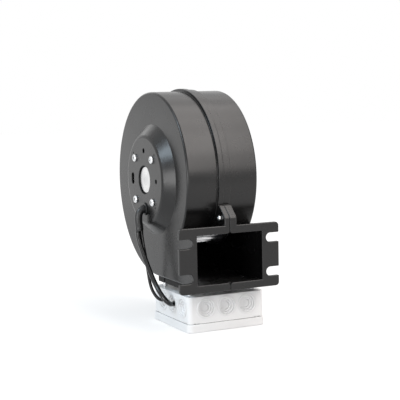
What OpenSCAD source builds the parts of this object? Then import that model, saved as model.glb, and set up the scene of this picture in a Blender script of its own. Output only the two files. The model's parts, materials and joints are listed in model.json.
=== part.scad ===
// Direct-current centrifugal blower: a two-part moulded scroll housing with a
// bolt-on outlet flange, an external-rotor motor inside a drum impeller, and a
// square junction box under the scroll.
//
// Frame: X is the spin axis's direction, with the motor on the -X side and the
// inlet on the +X side. The outlet blows towards -Y. Z is up. The origin lies
// on the face that the junction box rests on, in the housing's split plane and
// at the middle of the box's depth. All sizes are in millimetres.

/* [Housing] */
// Width of the housing across its two flat sides
housing_w = 92.6; // [90:0.2:96]
// Thickness of the housing's walls
wall = 3.5; // [3:0.1:4]
// Outer radius of the scroll's front arc
scroll_r = 103.2; // [102:0.2:108]
// Side of the small square whose corners the scroll's arcs turn about
scroll_step = 7.2; // [6:0.2:8]
// Height of that square's middle above the spin axis
scroll_rise = 1; // [0:0.1:2]
// Distance from the spin axis forwards to the face of the outlet flange
outlet_reach = 115.2; // [114:0.2:122]
// Clear height of the duct inside the outlet
duct_h = 58.2; // [54:0.2:59]
// Gap left between the two halves of the housing
seam_gap = 0.3; // [0.1:0.1:0.5]

/* [Seam] */
// Width of the raised band on the motor half
band_motor_w = 6.5; // [5:0.1:8]
// Width of the raised band on the inlet half
band_inlet_w = 9; // [7:0.1:10]
// Height of the motor half's band above the scroll
band_motor_h = 3.4; // [2:0.1:4]
// Height of the inlet half's band above the scroll
band_inlet_h = 2.2; // [1:0.1:3]
// Radius of the ears that the seam screws pass through
ear_r = 6; // [5:0.1:7]
// Diameter of the seam screws
seam_screw_d = 4; // [3:0.1:4.4]

/* [Outlet flange] */
// Width of the flange
flange_w = 131.2; // [128:0.2:140]
// Height of the flange
flange_h = 77; // [75:0.2:80]
// Thickness of the flange
flange_t = 5; // [4:0.1:8]
// How far the flange's lower edge lies under the duct's floor
flange_drop = 9.2; // [8:0.1:10]
// Width of the four open slots
slot_w = 11; // [8:0.2:12]
// Depth of the slots from the flange's side edges
slot_depth = 17.2; // [13:0.2:18]
// Distance between the slots' middles, up the flange
slot_pitch = 41; // [38:0.2:44]
// Corner radius of the flange
flange_r = 4.5; // [2:0.1:6]

/* [Motor dome] */
// Height of the dome above the housing's motor side
dome_h = 12.1; // [10:0.1:13]
// Radius of the dome where it leaves the housing
dome_base_r = 68.2; // [66:0.2:72]
// Radius of the dome's flat top
dome_top_r = 54; // [52:0.2:56]
// Radius of the round window over the motor's boss
window_r = 17.7; // [17:0.1:19]
// Spacing of the four motor screws, across and up
motor_screw_pitch = 52.1; // [50:0.1:54]
// Diameter of the motor screws
motor_screw_d = 5; // [4:0.1:5.4]
// Distance from the spin axis to the service holes and the cable hole
service_r = 36; // [35:0.1:37]
// Diameter of the cable hole
cable_hole_d = 13; // [12.6:0.1:14]

/* [Motor] */
// Outer radius of the rotor can
can_r = 46; // [45:0.1:48]
// Wall of the rotor can
can_wall = 2.5; // [2:0.1:3]
// Diameter of the shaft
shaft_d = 8; // [7:0.1:9]
// Outer diameter of the ball bearings
bearing_d = 22; // [21:0.1:23]
// Width of the ball bearings
bearing_w = 7; // [6:0.1:8]
// Length of the laminated stator core
core_l = 24; // [20:0.5:26]
// Air gap between the stator core and the magnets
air_gap = 1; // [0.6:0.1:1.4]

/* [Impeller] */
// Outer radius of the impeller's end ring
impeller_r = 86; // [84:0.2:88]
// Radius of the blades' outer tips
blade_tip_r = 84; // [80:0.2:84.4]
// Radius of the blades' inner edges
blade_root_r = 70.5; // [69.6:0.1:72]
// Number of blades
blade_count = 42; // [24:1:48]
// Thickness of a blade
blade_t = 1; // [0.6:0.1:1.2]
// Length of the blades along the axis
blade_l = 66; // [60:0.5:67]

/* [Inlet nozzle] */
// Radius of the nozzle's throat
throat_r = 62; // [58:0.2:63]
// Thickness of the nozzle's sheet
nozzle_t = 1.5; // [1:0.1:2]
// Radius of the nozzle's rolled mouth
mouth_r = 14.8; // [13:0.1:16]
// Width of the nozzle's flat rim
nozzle_rim = 9.2; // [8.4:0.1:10]

/* [Junction box] */
// Side of the box's square lid
box_side = 105; // [102:0.5:110]
// Height of the box, lid and base together
box_h = 43; // [42:0.5:46]
// Height of the lid alone
lid_h = 10; // [9:0.1:11]
// How far the box's middle lies towards the inlet from the split plane
box_shift = 9; // [7:0.1:10]
// Distance from the box's middle back to the spin axis
axis_back = 35.3; // [34:0.1:37]
// Clear space between the box and the scroll
box_gap = 15.4; // [15:0.1:17]
// Thickness of the box's walls
box_wall = 2.2; // [2:0.1:2.6]
// Spacing of the cable entries along a side
entry_pitch = 27.6; // [27:0.1:28.4]
// Diameter of the cable entries
entry_d = 23.2; // [22:0.1:24]
// Height of the cable entries' middles
entry_z = 28.4; // [27.6:0.1:29]

/* [Bracket] */
// Thickness of the sheet-steel bracket between box and scroll
bracket_t = 2; // [1.5:0.1:2.4]
// Depth of the bracket's folded edges
bracket_skirt = 6.5; // [5:0.1:8]
// Diameter of the standoffs between box and bracket
standoff_d = 6; // [5.6:0.1:7]
// Spacing of the standoffs across the box
standoff_pitch_x = 84; // [80:0.5:85]
// Spacing of the standoffs along the box
standoff_pitch_y = 72; // [68:0.5:73]

/* [Hidden] */

$fn = 96;

// Small allowances that the pieces share
fit = 0.05;          // between a hole and the piece that fills it
eps = 0.5;           // how far a cutter runs past the face that it cuts

// Colours
housing_col = [0.16, 0.16, 0.17];
zinc_col = [0.78, 0.79, 0.8];
alu_col = [0.82, 0.83, 0.85];
steel_col = [0.66, 0.67, 0.69];
copper_col = [0.72, 0.4, 0.2];
box_col = [0.86, 0.87, 0.88];
seal_col = [0.8, 0.81, 0.82];
cord_col = [0.05, 0.05, 0.06];

// The scroll's three arcs, about the corners of a small square
half_step = scroll_step / 2;
front_r = scroll_r;
rear_r = scroll_r + scroll_step;
low_r = scroll_r + 2 * scroll_step;
front_c = [half_step, scroll_rise + half_step];
rear_c = [half_step, scroll_rise - half_step];
low_c = [-half_step, scroll_rise - half_step];
floor_w = low_c[1] - low_r;              // underside of the duct, from the axis
duct_floor = floor_w + wall;
duct_roof = duct_floor + duct_h;

// Places of the main planes
half_w = housing_w / 2;
axis_z = box_h + box_gap - floor_w;
plate_x = -half_w - dome_h;              // outer face of the motor plate
motor_x = plate_x + wall;                // seat of the motor on the plate
flange_y = axis_back - outlet_reach;
flange_z = axis_z + duct_floor - flange_drop;

// The cut-off nose between scroll and duct
nose_u = -78.6;
nose_top = front_c[1] - sqrt(pow(front_r - wall, 2) - pow(nose_u - front_c[0], 2));
nose_r = (nose_top - duct_roof) / 2 + 0.3;

// The lug on top of the flange, and its screw
lug_rise = 9.1;
lug_screw_back = 12.3;   // behind the flange's face, where the scroll leaves room
lug_screw_z = flange_z + flange_h + 7.9;

// Seam screws: a shank through both ears, a pan head and a nut
seam_head_r = 3.6;
seam_head_h = 2.8;
seam_nut_r = 4;
seam_nut_h = 3.2;
nut_clear = 0.4;         // between a nut and the wall beside it

lug_screw_drop = lug_screw_z - axis_z - front_c[1];
lug_clear_r = front_r + seam_nut_r + nut_clear;
lug_clear_y = axis_back + front_c[0] - sqrt(pow(lug_clear_r, 2) - pow(lug_screw_drop, 2));
lug_screw_y = min(flange_y + lug_screw_back, lug_clear_y);

// Where the rim of ears stands round the scroll: angle and arc of each
ears = [
  [45, rear_c, rear_r],
  [0, rear_c, rear_r],
  [-52, low_c, low_r]
];

ear_web = 2 * ear_r - 1;

// Motor: bearing seats and rotor, all measured along the axis
flange_disc_t = 5;
flange_disc_r = 46;
boss_r = 16;
boss_proud = 1.5;
tube_r = bearing_d / 2 + 2;
rear_bearing_x = motor_x + 6.9;
bearing_step = 31;
front_bearing_x = rear_bearing_x + bearing_step;
tube_end_x = front_bearing_x + bearing_w;
washer_t = 1;
ball_pitch_r = (bearing_d + shaft_d) / 4;
ball_r = 1.98;
groove_r = 2.12;
ball_count = 7;
race_t = 2.2;
core_r = can_r - can_wall - 3.7 - air_gap;
core_x = tube_end_x - 4 - core_l;
tooth_count = 12;
tooth_w = 5;
coil_w = 9.4;
coil_end = 3.6;
board_x = motor_x + 7.9;
board_t = 1.6;
can_x = motor_x + 9.9;
can_end_t = 3;
can_end_x = tube_end_x + 8.5;
can_flange_w = 10;
can_flange_x = motor_x + 13.9;
can_flange_t = 1.5;
magnet_t = can_r - can_wall - core_r - air_gap - fit;
magnet_l = 30;

// Impeller, built up from the rotor can's flange
backplate_t = 1.5;
backplate_x = can_flange_x + can_flange_t;
blade_x = backplate_x + backplate_t;
ring_x = blade_x + blade_l;
ring_t = 4;
ring_w = 18;
rivet_count = 6;
rivet_r = can_r + can_flange_w / 2;
blade_arc_r = 0.7 * (blade_tip_r - blade_root_r);
blade_arc_c = (blade_tip_r + blade_root_r) / 2 + 0.8;

// Nozzle
nozzle_seat_r = throat_r + mouth_r;
nozzle_curve_x = half_w + nozzle_t - mouth_r;
nozzle_lip = 6;
nozzle_screw_r = nozzle_seat_r + nozzle_rim / 2;
sunk_head_r = 2.9;       // flush heads, so that a guard can lie on the rim

// Junction box
box_body_side = box_side - 3;
box_inner_side = box_body_side - 2 * box_wall;
box_r = 6;
lid_seam = 0.4;
lid_floor = 2.2;
gasket_w = 1.4;
gasket_d = 1;
pillar_at = box_inner_side / 2 - 3.4;
pillar_r = 3.8;
side_entry_shift = -5;
entry_lip = 0.8;
cable_clear = 0.5;       // between a cable and the membrane that it passes
latch_at = [box_body_side / 2 - 13, box_body_side / 2 - 7.6];
latch_w = 2.6;
latch_h = 1.9;
block_size = [50, 20, 16];
block_pole_pitch = 9;
block_well_r = 2.6;
block_well_l = 6;
block_wire_r = 2;
block_wire_z = 9;        // under the box's ceiling

// Bracket and its fasteners
bracket_z = box_h + box_gap - bracket_t;
bracket_front_y = flange_y + flange_t + 4;
bracket_back_y = standoff_pitch_y / 2 + 9;
bracket_side = standoff_pitch_x / 2 + 7;
small_screw_d = 3;
fixing_screw_d = 4;
bracket_screw_x = 30;
bracket_screw_y = [-52, 16];
tie_slot_w = 3;
tie_slot_y = 20;

dimple_at = motor_screw_pitch / 2 + 6.15;    // marks outside the motor screws

// Cable routes, by hand. The sleeve's points are written from the middle of
// the hole in the motor plate, and both cables' heights from the box's entries,
// for a drop of cable_drop, which is stretched to the real one. The sleeve
// starts at the circuit board, and both cables leave its lower end for the box.
sleeve_d = 10;
motor_cable_d = 6;
control_cable_d = 4;
hole_z = axis_z - service_r;
sleeve_end = 26.6;       // under the hole
cable_drop = 87.6;
sleeve_points = [
  [-53, 0, 0], [-59.9, 0, 0], [-63.4, 0.1, -1.4], [-66, 0.2, -4.6], [-67.2, 0.3, -9.6],
  [-67.2, 0.2, -15.6], [-66.6, 0, -20.6], [-66.5, 0, -22.6], [-66.5, 0, -sleeve_end]
];
motor_cable_points = [
  [-68.5, 35.3, 87.6], [-68.5, 35.3, 84], [-68.4, 33.6, 78.6], [-67.5, 29.8, 69.6],
  [-66.2, 24.6, 59.6], [-64.8, 19, 49.6], [-63.4, 13.6, 40.6], [-62, 7.6, 31.6],
  [-60.6, 0.6, 23.2], [-59.2, -6.6, 16.2], [-57, -12.6, 10.2], [-53.6, -15.4, 5.4],
  [-49, -13.2, 2], [-44.6, -8.2, 0.4], [-40, -5.2, 0], [-33, -5, 0.2], [-26, -5, 1.8],
  [-21, -5, 2.6], [-16.2, -5, 2.6]
];
control_cable_points = [
  [-63.45, 35.3, 87.6], [-63.45, 35.3, 84], [-63.2, 35, 79.6], [-62.4, 34, 70.6],
  [-61.2, 32.6, 60.6], [-60, 31.6, 50.6], [-58.8, 31.2, 41.6], [-57.6, 31, 32.6],
  [-56.4, 30.4, 23.6], [-54.8, 28.8, 15.2], [-52.2, 26.2, 8], [-48.8, 24, 3],
  [-45, 22.8, 0.5], [-41, 22.6, 0], [-36, 22.6, 0], [-31, 19.2, 0.4], [-27, 13, 1.2],
  [-24, 8, 2], [-21, 5.4, 2.5], [-18.6, 5, 2.6], [-16.2, 5, 2.6]
];
cable_stretch = (hole_z - sleeve_end - entry_z) / cable_drop;
sleeve_route = concat(
  [[board_x - fit, axis_back, hole_z]],
  [for (p = sleeve_points) [p[0], axis_back + p[1], hole_z + p[2]]]
);
motor_cable_route = [for (p = motor_cable_points) [p[0], p[1], entry_z + p[2] * cable_stretch]];
control_cable_route = [for (p = control_cable_points) [p[0], p[1], entry_z + p[2] * cable_stretch]];

// ---------------------------------------------------------------- helpers

// Turns a shape so that its own X, Y and Z run along the frame's Y, Z and X,
// about the spin axis, and starts it at the plane x
module along_axis(x) {
  translate([x, axis_back, axis_z])
    rotate([90, 0, 90])
      children();
}

// A round bar or disc about the spin axis, from x on
module disc(x, r, l) {
  along_axis(x) cylinder(r = r, h = l);
}

// A flat ring about the spin axis, from x on
module ring(x, r_out, r_in, l) {
  along_axis(x)
    difference() {
      cylinder(r = r_out, h = l);
      translate([0, 0, -eps]) cylinder(r = r_in, h = l + 2 * eps);
    }
}

// A round bar along X at a place y, z of the frame
module bar_x(x, y, z, r, l) {
  translate([x, y, z]) rotate([0, 90, 0]) cylinder(r = r, h = l);
}

// A square plate with round corners
module rounded_plate(size_x, size_y, h, r) {
  linear_extrude(height = h)
    union() {
      square([size_x - 2 * r, size_y], center = true);
      square([size_x, size_y - 2 * r], center = true);
      for (sx = [-1, 1], sy = [-1, 1])
        translate([sx * (size_x / 2 - r), sy * (size_y / 2 - r)]) circle(r = r);
    }
}

// Distance from the spin axis to an arc of the scroll, at an angle
function arc_reach(a, c, r) =
  let (b = c[0] * cos(a) + c[1] * sin(a))
  b + sqrt(b * b + r * r - c[0] * c[0] - c[1] * c[1]);

// Sweep of a round cord along hand-placed points. Each ring stands square to
// the path, and is turned no further than the path itself turns.
function unit(v) = v / norm(v);
function span(p, i) = unit(p[min(i + 1, len(p) - 1)] - p[max(i - 1, 0)]);
function square_to(u, t) = unit(u - (u * t) * t);
function carried(p, i) =
  i == 0 ? square_to([0, 1, 0], span(p, 0)) : square_to(carried(p, i - 1), span(p, i));
function cord_ring(p, i, r, n) =
  let (t = span(p, i), u = carried(p, i), v = cross(t, u))
  [for (k = [0 : n - 1]) p[i] + r * (cos(360 * k / n) * u + sin(360 * k / n) * v)];
module cord(p, d, n) {
  rings = len(p);
  points = [for (i = [0 : rings - 1]) each cord_ring(p, i, d / 2, n)];
  sides = [
    for (i = [0 : rings - 2], k = [0 : n - 1])
      [i * n + k, i * n + (k + 1) % n, (i + 1) * n + (k + 1) % n, (i + 1) * n + k]
  ];
  near_end = [for (k = [0 : n - 1]) n - 1 - k];
  far_end = [for (k = [0 : n - 1]) (rings - 1) * n + k];
  polyhedron(points = points, faces = concat([near_end], sides, [far_end]));
}

// ---------------------------------------------------------------- housing

// The scroll's outline about the spin axis, moved inwards by inset
module scroll_arcs(inset) {
  big = 2 * low_r;
  intersection() {
    translate(front_c) circle(r = front_r - inset, $fn = 180);
    translate([front_c[0] - big, -big]) square([big, 2 * big]);
  }
  intersection() {
    translate(rear_c) circle(r = rear_r - inset, $fn = 180);
    translate(rear_c) square(big);
  }
  intersection() {
    translate(low_c) circle(r = low_r - inset, $fn = 180);
    translate([low_c[0], low_c[1] - big]) square(big);
  }
}

// The scroll with the duct that leads to the outlet
module scroll_outline(inset, reach) {
  union() {
    scroll_arcs(inset);
    translate([-reach, floor_w + inset])
      square([reach - half_step, duct_h + 2 * (wall - inset)]);
  }
}

// Everything that the housing is hollow for, from x0 to x1
module housing_hollow(x0, x1) {
  along_axis(x0)
    linear_extrude(height = x1 - x0)
      union() {
        scroll_outline(wall, outlet_reach + eps);
        translate([nose_u, duct_roof - eps]) square([16, nose_top - duct_roof + eps]);
      }
}

// The round nose of the cut-off, from x0 to x1
module nose(x0, x1) {
  along_axis(x0)
    translate([nose_u, (nose_top + duct_roof) / 2]) cylinder(r = nose_r, h = x1 - x0);
}

// Distance from the spin axis to the screw in an ear
function ear_reach(e) = arc_reach(e[0], e[1], e[2]) + seam_nut_r + nut_clear;

// Outline of the ears for the seam screws, round the back of the scroll
module ears_outline() {
  for (e = ears)
    rotate(e[0])
      translate([ear_reach(e), 0]) {
        circle(r = ear_r);
        translate([-ear_r * 1.6, -ear_web / 2]) square([ear_r * 1.6, ear_web]);
      }
}

// One solid of the lug on top of the flange, from x0 to x1
module lug(x0, x1) {
  top_z = flange_z + flange_h;
  translate([x0, 0, 0])
    rotate([90, 0, 90])
      linear_extrude(height = x1 - x0)
        polygon([
          [flange_y, top_z - 4], [flange_y, top_z + lug_rise],
          [flange_y + 1.6, top_z + lug_rise + 2], [flange_y + 13.6, top_z + 22.4],
          [flange_y + 22, top_z + 22.4], [flange_y + 30, top_z - 4]
        ]);
}

// Half of the outlet flange: side is -1 for the motor half and 1 for the other
module flange_half(side) {
  x_in = seam_gap / 2;
  difference() {
    intersection() {
      translate([0, flange_y + flange_t, flange_z + flange_h / 2])
        rotate([90, 0, 0])
          rounded_plate(flange_w, flange_h, flange_t, flange_r);
      translate([side > 0 ? x_in : -flange_w, flange_y - eps, flange_z - eps])
        cube([flange_w - (side > 0 ? 0 : x_in), flange_t + 2 * eps, flange_h + 2 * eps]);
    }
    for (s = [-1, 1]) {
      slot_x = side * (flange_w / 2 - slot_depth + slot_w / 2);
      slot_z = flange_z + flange_h / 2 + s * slot_pitch / 2;
      translate([slot_x, flange_y + flange_t + eps, slot_z])
        rotate([90, 0, 0]) cylinder(r = slot_w / 2, h = flange_t + 2 * eps);
      translate([side > 0 ? slot_x : slot_x - slot_depth, flange_y - eps, slot_z - slot_w / 2])
        cube([slot_depth, flange_t + 2 * eps, slot_w]);
    }
  }
}

// Dark V notches where the split crosses the mouth of the outlet
module mouth_notches() {
  for (w = [duct_floor, duct_roof])
    translate([0, flange_y - eps, axis_z + w])
      rotate([0, 45, 0])
        translate([-1.6, 0, -1.6]) cube([3.2, flange_t, 3.2]);
}

// Holes for the seam screws: through the lug and through every ear
module seam_holes(r) {
  x0 = -band_motor_w - eps;
  l = band_motor_w + band_inlet_w + 2 * eps;
  bar_x(x0, lug_screw_y, lug_screw_z, r, l);
  for (e = ears)
    along_axis(x0)
      rotate([0, 0, e[0]])
        translate([ear_reach(e), 0, 0]) cylinder(r = r, h = l);
}

// The band round the seam with its ears. The band is cut off before it
// reaches the flat floor.
module band(x0, x1, proud) {
  along_axis(x0)
    linear_extrude(height = x1 - x0)
      union() {
        intersection() {
          scroll_arcs(-proud);
          translate([-2 * low_r, floor_w + 9]) square(4 * low_r);
        }
        ears_outline();
      }
}

module motor_plate_holes() {
  along_axis(plate_x - eps) {
    cylinder(r = window_r, h = wall + 2 * eps);
    for (sx = [-1, 1], sy = [-1, 1])
      translate([sx * motor_screw_pitch / 2, sy * motor_screw_pitch / 2, 0])
        cylinder(d = motor_screw_d + 0.4, h = wall + 2 * eps);
    translate([0, service_r, 0]) cylinder(r = 3, h = wall + 2 * eps);
    translate([-service_r, 0, 0]) cylinder(r = 2.7, h = wall + 2 * eps);
    translate([0, -service_r, 0]) cylinder(d = cable_hole_d, h = wall + 2 * eps);
    rear_slot(wall + 2 * eps);
    for (sx = [-1, 1], sy = [-1, 1])
      translate([sx * dimple_at, sy * dimple_at, 0]) cylinder(r = 1, h = 1 + eps);
  }
}

// The upright slot behind the motor's window
module rear_slot(h) {
  translate([service_r - 4.2, -3, 0]) cube([8.4, 6, h]);
  for (s = [-1, 1])
    translate([service_r, s * 3, 0]) cylinder(r = 4.2, h = h);
}

module motor_side_housing() {
  color(housing_col)
    difference() {
      union() {
        along_axis(-half_w)
          linear_extrude(height = half_w - seam_gap / 2) scroll_outline(0, outlet_reach);
        along_axis(plate_x)
          cylinder(r1 = dome_top_r, r2 = dome_base_r, h = dome_h + fit);
        band(-band_motor_w, -seam_gap / 2, band_motor_h);
        lug(-band_motor_w, -seam_gap / 2);
        flange_half(-1);
      }
      difference() {
        housing_hollow(-half_w + wall, eps);
        nose(-half_w, 2 * eps);
      }
      along_axis(motor_x)
        cylinder(r1 = dome_top_r - wall, r2 = dome_base_r - wall, h = dome_h + fit);
      motor_plate_holes();
      mouth_notches();
      seam_holes(seam_screw_d / 2 + 0.2);
      bracket_holes(bracket_screw_x * -1);
    }
}

module inlet_side_housing() {
  color(housing_col)
    difference() {
      union() {
        along_axis(seam_gap / 2)
          linear_extrude(height = half_w - seam_gap / 2) scroll_outline(0, outlet_reach);
        band(seam_gap / 2, band_inlet_w, band_inlet_h);
        lug(seam_gap / 2, band_inlet_w);
        flange_half(1);
      }
      difference() {
        housing_hollow(-eps, half_w - wall);
        nose(-2 * eps, half_w);
      }
      disc(half_w - wall - eps, nozzle_seat_r + 0.2, wall + 2 * eps);
      for (a = [45 : 90 : 315])
        along_axis(half_w - wall - eps)
          rotate([0, 0, a])
            translate([nozzle_screw_r, 0, 0]) cylinder(d = small_screw_d + 0.2, h = wall + 2 * eps);
      mouth_notches();
      seam_holes(seam_screw_d / 2 + 0.2);
      bracket_holes(bracket_screw_x);
    }
}

module seam_screws() {
  head_x = -band_motor_w - seam_head_h;
  shank_l = band_motor_w + band_inlet_w + seam_nut_h + 1;
  color(zinc_col) {
    seam_screw(head_x, shank_l, lug_screw_y, lug_screw_z);
    for (e = ears)
      seam_screw(head_x, shank_l,
                 axis_back + ear_reach(e) * cos(e[0]), axis_z + ear_reach(e) * sin(e[0]));
  }
}

module seam_screw(head_x, shank_l, y, z) {
  difference() {
    union() {
      bar_x(head_x, y, z, seam_head_r, seam_head_h);
      bar_x(head_x + seam_head_h - eps, y, z, seam_screw_d / 2, shank_l + eps);
    }
    translate([head_x - eps, y, z]) rotate([0, 90, 0]) cylinder(r = 1.6, h = 1.6 + eps, $fn = 6);
  }
}

module seam_nuts() {
  color(zinc_col) {
    seam_nut(lug_screw_y, lug_screw_z);
    for (e = ears)
      seam_nut(axis_back + ear_reach(e) * cos(e[0]), axis_z + ear_reach(e) * sin(e[0]));
  }
}

module seam_nut(y, z) {
  difference() {
    translate([band_inlet_w, y, z]) rotate([0, 90, 0]) cylinder(r = seam_nut_r, h = seam_nut_h, $fn = 6);
    bar_x(band_inlet_w - eps, y, z, seam_screw_d / 2 + fit, seam_nut_h + 2 * eps);
  }
}

// ---------------------------------------------------------------- inlet

module inlet_nozzle() {
  color(steel_col)
    difference() {
      along_axis(0)
        rotate_extrude($fn = 180)
          union() {
            // straight throat that reaches into the impeller's ring
            translate([throat_r, nozzle_curve_x - nozzle_lip])
              square([nozzle_t, nozzle_lip]);
            // rolled mouth
            translate([nozzle_seat_r, nozzle_curve_x])
              intersection() {
                difference() {
                  circle(r = mouth_r);
                  circle(r = mouth_r - nozzle_t);
                }
                translate([-mouth_r, 0]) square(mouth_r);
              }
            // flat rim on the housing's side
            translate([nozzle_seat_r, half_w]) square([nozzle_rim, nozzle_t]);
          }
      for (a = [45 : 90 : 315])
        along_axis(half_w - eps)
          rotate([0, 0, a])
            translate([nozzle_screw_r, 0, 0]) {
              cylinder(d = small_screw_d + 0.2, h = nozzle_t + 2 * eps);
              translate([0, 0, eps + fit])
                cylinder(r1 = small_screw_d / 2 + fit, r2 = sunk_head_r + fit, h = nozzle_t);
            }
    }
}

module nozzle_screws() {
  color(zinc_col)
    for (a = [45 : 90 : 315])
      along_axis(0)
        rotate([0, 0, a])
          translate([nozzle_screw_r, 0, half_w])
            difference() {
              union() {
                translate([0, 0, fit])
                  cylinder(r1 = small_screw_d / 2, r2 = sunk_head_r, h = nozzle_t - fit);
                translate([0, 0, -wall - 2]) cylinder(d = small_screw_d, h = wall + 2 + eps);
              }
              translate([0, 0, nozzle_t - 0.9]) cylinder(r = 1.2, h = 2, $fn = 6);
            }
}

// ---------------------------------------------------------------- motor

module stator_flange() {
  color(alu_col)
    difference() {
      union() {
        disc(motor_x, flange_disc_r, flange_disc_t);
        disc(motor_x - boss_proud, boss_r, boss_proud + fit);
        disc(motor_x + flange_disc_t - fit, tube_r, tube_end_x - motor_x - flange_disc_t + fit);
      }
      disc(rear_bearing_x, bearing_d / 2 + 0.02, tube_end_x - rear_bearing_x + eps);
      disc(motor_x + 2.4, shaft_d / 2 + 3.5, rear_bearing_x - motor_x - 2.4 + eps);
      along_axis(motor_x - eps) {
        for (sx = [-1, 1], sy = [-1, 1])
          translate([sx * motor_screw_pitch / 2, sy * motor_screw_pitch / 2, 0])
            cylinder(d = motor_screw_d + 2 * fit, h = flange_disc_t + 2 * eps);
        translate([0, service_r, 0]) cylinder(r = 5, h = flange_disc_t + 2 * eps);
        translate([-service_r, 0, 0]) cylinder(r = 5, h = flange_disc_t + 2 * eps);
        translate([0, -service_r, 0]) cylinder(d = cable_hole_d, h = flange_disc_t + 2 * eps);
        rear_slot(flange_disc_t + 2 * eps);
      }
    }
}

module motor_mount_screws() {
  color(zinc_col)
    for (sx = [-1, 1], sy = [-1, 1])
      along_axis(plate_x)
        translate([sx * motor_screw_pitch / 2, sy * motor_screw_pitch / 2, 0])
          difference() {
            union() {
              translate([0, 0, -3]) cylinder(r = 4.75, h = 3);
              translate([0, 0, -eps]) cylinder(d = motor_screw_d, h = wall + flange_disc_t + eps);
            }
            translate([0, 0, -3 - eps]) cylinder(r = 2.1, h = 1.8 + eps, $fn = 6);
          }
}

module stator_core() {
  color(steel_col)
    difference() {
      ring(core_x, core_r, tube_r + fit, core_l);
      for (i = [0 : tooth_count - 1])
        along_axis(core_x - eps)
          rotate([0, 0, (i + 0.5) * 360 / tooth_count]) {
            // slot between two teeth, as wide at its foot as at its top
            translate([tube_r + 7, -1.2, 0]) cube([core_r, 2.4, core_l + 2 * eps]);
            linear_extrude(height = core_l + 2 * eps)
              polygon([
                [tube_r + 7, -2.6], [tube_r + 7, 2.6],
                [core_r - 2.6, 7.2], [core_r - 2.6, -7.2]
              ]);
          }
    }
}

module stator_windings() {
  color(copper_col)
    for (i = [0 : tooth_count - 1])
      along_axis(core_x)
        rotate([0, 0, i * 360 / tooth_count])
          difference() {
            translate([tube_r + 9.4, -coil_w / 2, -coil_end])
              cube([core_r - tube_r - 13.4, coil_w, core_l + 2 * coil_end]);
            translate([tube_r, -coil_w / 2 + 1.4, -fit])
              cube([core_r, coil_w - 2.8, core_l + 2 * fit]);
          }
}

module motor_circuit_board() {
  color([0.1, 0.35, 0.2])
    union() {
      ring(board_x, core_r - 1, tube_r + fit, board_t);
      // driver chips and sensors on the board's stator side
      for (a = [30 : 60 : 330])
        along_axis(board_x + board_t - fit)
          rotate([0, 0, a]) translate([24, -3, 0]) cube([7, 6, 1.4]);
    }
}

// Bearings: the same four pieces at both ends of the tube
module at_bearings() {
  for (x = [rear_bearing_x, front_bearing_x])
    along_axis(x) children();
}

module race(r_in, r_out) {
  rotate_extrude()
    difference() {
      translate([r_in, 0]) square([r_out - r_in, bearing_w]);
      translate([ball_pitch_r, bearing_w / 2]) circle(r = groove_r);
    }
}

module bearing_outer_races() {
  color(steel_col)
    at_bearings() race(bearing_d / 2 - race_t, bearing_d / 2);
}

module bearing_inner_races() {
  color(steel_col)
    at_bearings() race(shaft_d / 2 + 0.01, shaft_d / 2 + race_t);
}

module bearing_balls() {
  color(zinc_col)
    at_bearings()
      for (i = [0 : ball_count - 1])
        rotate([0, 0, i * 360 / ball_count])
          translate([ball_pitch_r, 0, bearing_w / 2]) sphere(r = ball_r);
}

module bearing_cages() {
  color(copper_col)
    at_bearings()
      difference() {
        translate([0, 0, bearing_w / 2 - 2.8]) cylinder(r = ball_pitch_r + 0.8, h = 5.6);
        translate([0, 0, -eps]) cylinder(r = ball_pitch_r - 0.8, h = bearing_w + 2 * eps);
        for (i = [0 : ball_count - 1])
          rotate([0, 0, i * 360 / ball_count])
            translate([ball_pitch_r - 3, 0, bearing_w / 2])
              rotate([0, 90, 0]) cylinder(r = ball_r + fit, h = 6);
      }
}

module bearing_spacer() {
  color(alu_col)
    ring(rear_bearing_x + bearing_w, bearing_d / 2 - fit, bearing_d / 2 - 1.6,
         bearing_step - bearing_w - washer_t);
}

module wave_washer() {
  color(steel_col)
    ring(front_bearing_x - washer_t, bearing_d / 2 - 0.3, bearing_d / 2 - 1.8, washer_t);
}

module shaft_circlip() {
  color(steel_col)
    difference() {
      ring(rear_bearing_x - 1, shaft_d / 2 + 1.8, shaft_d / 2 - 0.4, 1);
      translate([rear_bearing_x - 2, axis_back - 1.2, axis_z]) cube([3, 2.4, shaft_d]);
    }
}

module motor_shaft() {
  color(steel_col)
    difference() {
      disc(motor_x + 3.1, shaft_d / 2, can_end_x - motor_x - 3.1);
      ring(rear_bearing_x - 1 - 0.02, shaft_d / 2 + 1, shaft_d / 2 - 0.42, 1.04);
    }
}

module rotor_can() {
  hub_l = can_end_x - tube_end_x;
  color(zinc_col)
    difference() {
      union() {
        ring(can_x, can_r, can_r - can_wall, can_end_x - can_x - can_end_t + fit);
        disc(can_end_x - can_end_t, can_r, can_end_t);
        ring(can_flange_x, can_r + can_flange_w, can_r - can_wall, can_flange_t);
        disc(tube_end_x + 1.5, shaft_d / 2 + 5, hub_l - 1.5 - fit);
        disc(tube_end_x, shaft_d / 2 + race_t - 0.4, hub_l - fit);
      }
      disc(tube_end_x - eps, shaft_d / 2 + 0.01, hub_l + 2 * eps);
      for (i = [0 : rivet_count - 1])
        along_axis(can_flange_x - eps)
          rotate([0, 0, i * 360 / rivet_count])
            translate([rivet_r, 0, 0]) cylinder(r = 1.6, h = can_flange_t + 2 * eps);
    }
}

module rotor_magnets() {
  color([0.3, 0.3, 0.32])
    for (i = [0 : 7])
      along_axis(can_end_x - can_end_t - magnet_l - 1)
        rotate([0, 0, i * 45])
          rotate_extrude(angle = 43)
            translate([can_r - can_wall - magnet_t, 0]) square([magnet_t - fit, magnet_l]);
}

// ---------------------------------------------------------------- impeller

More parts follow.
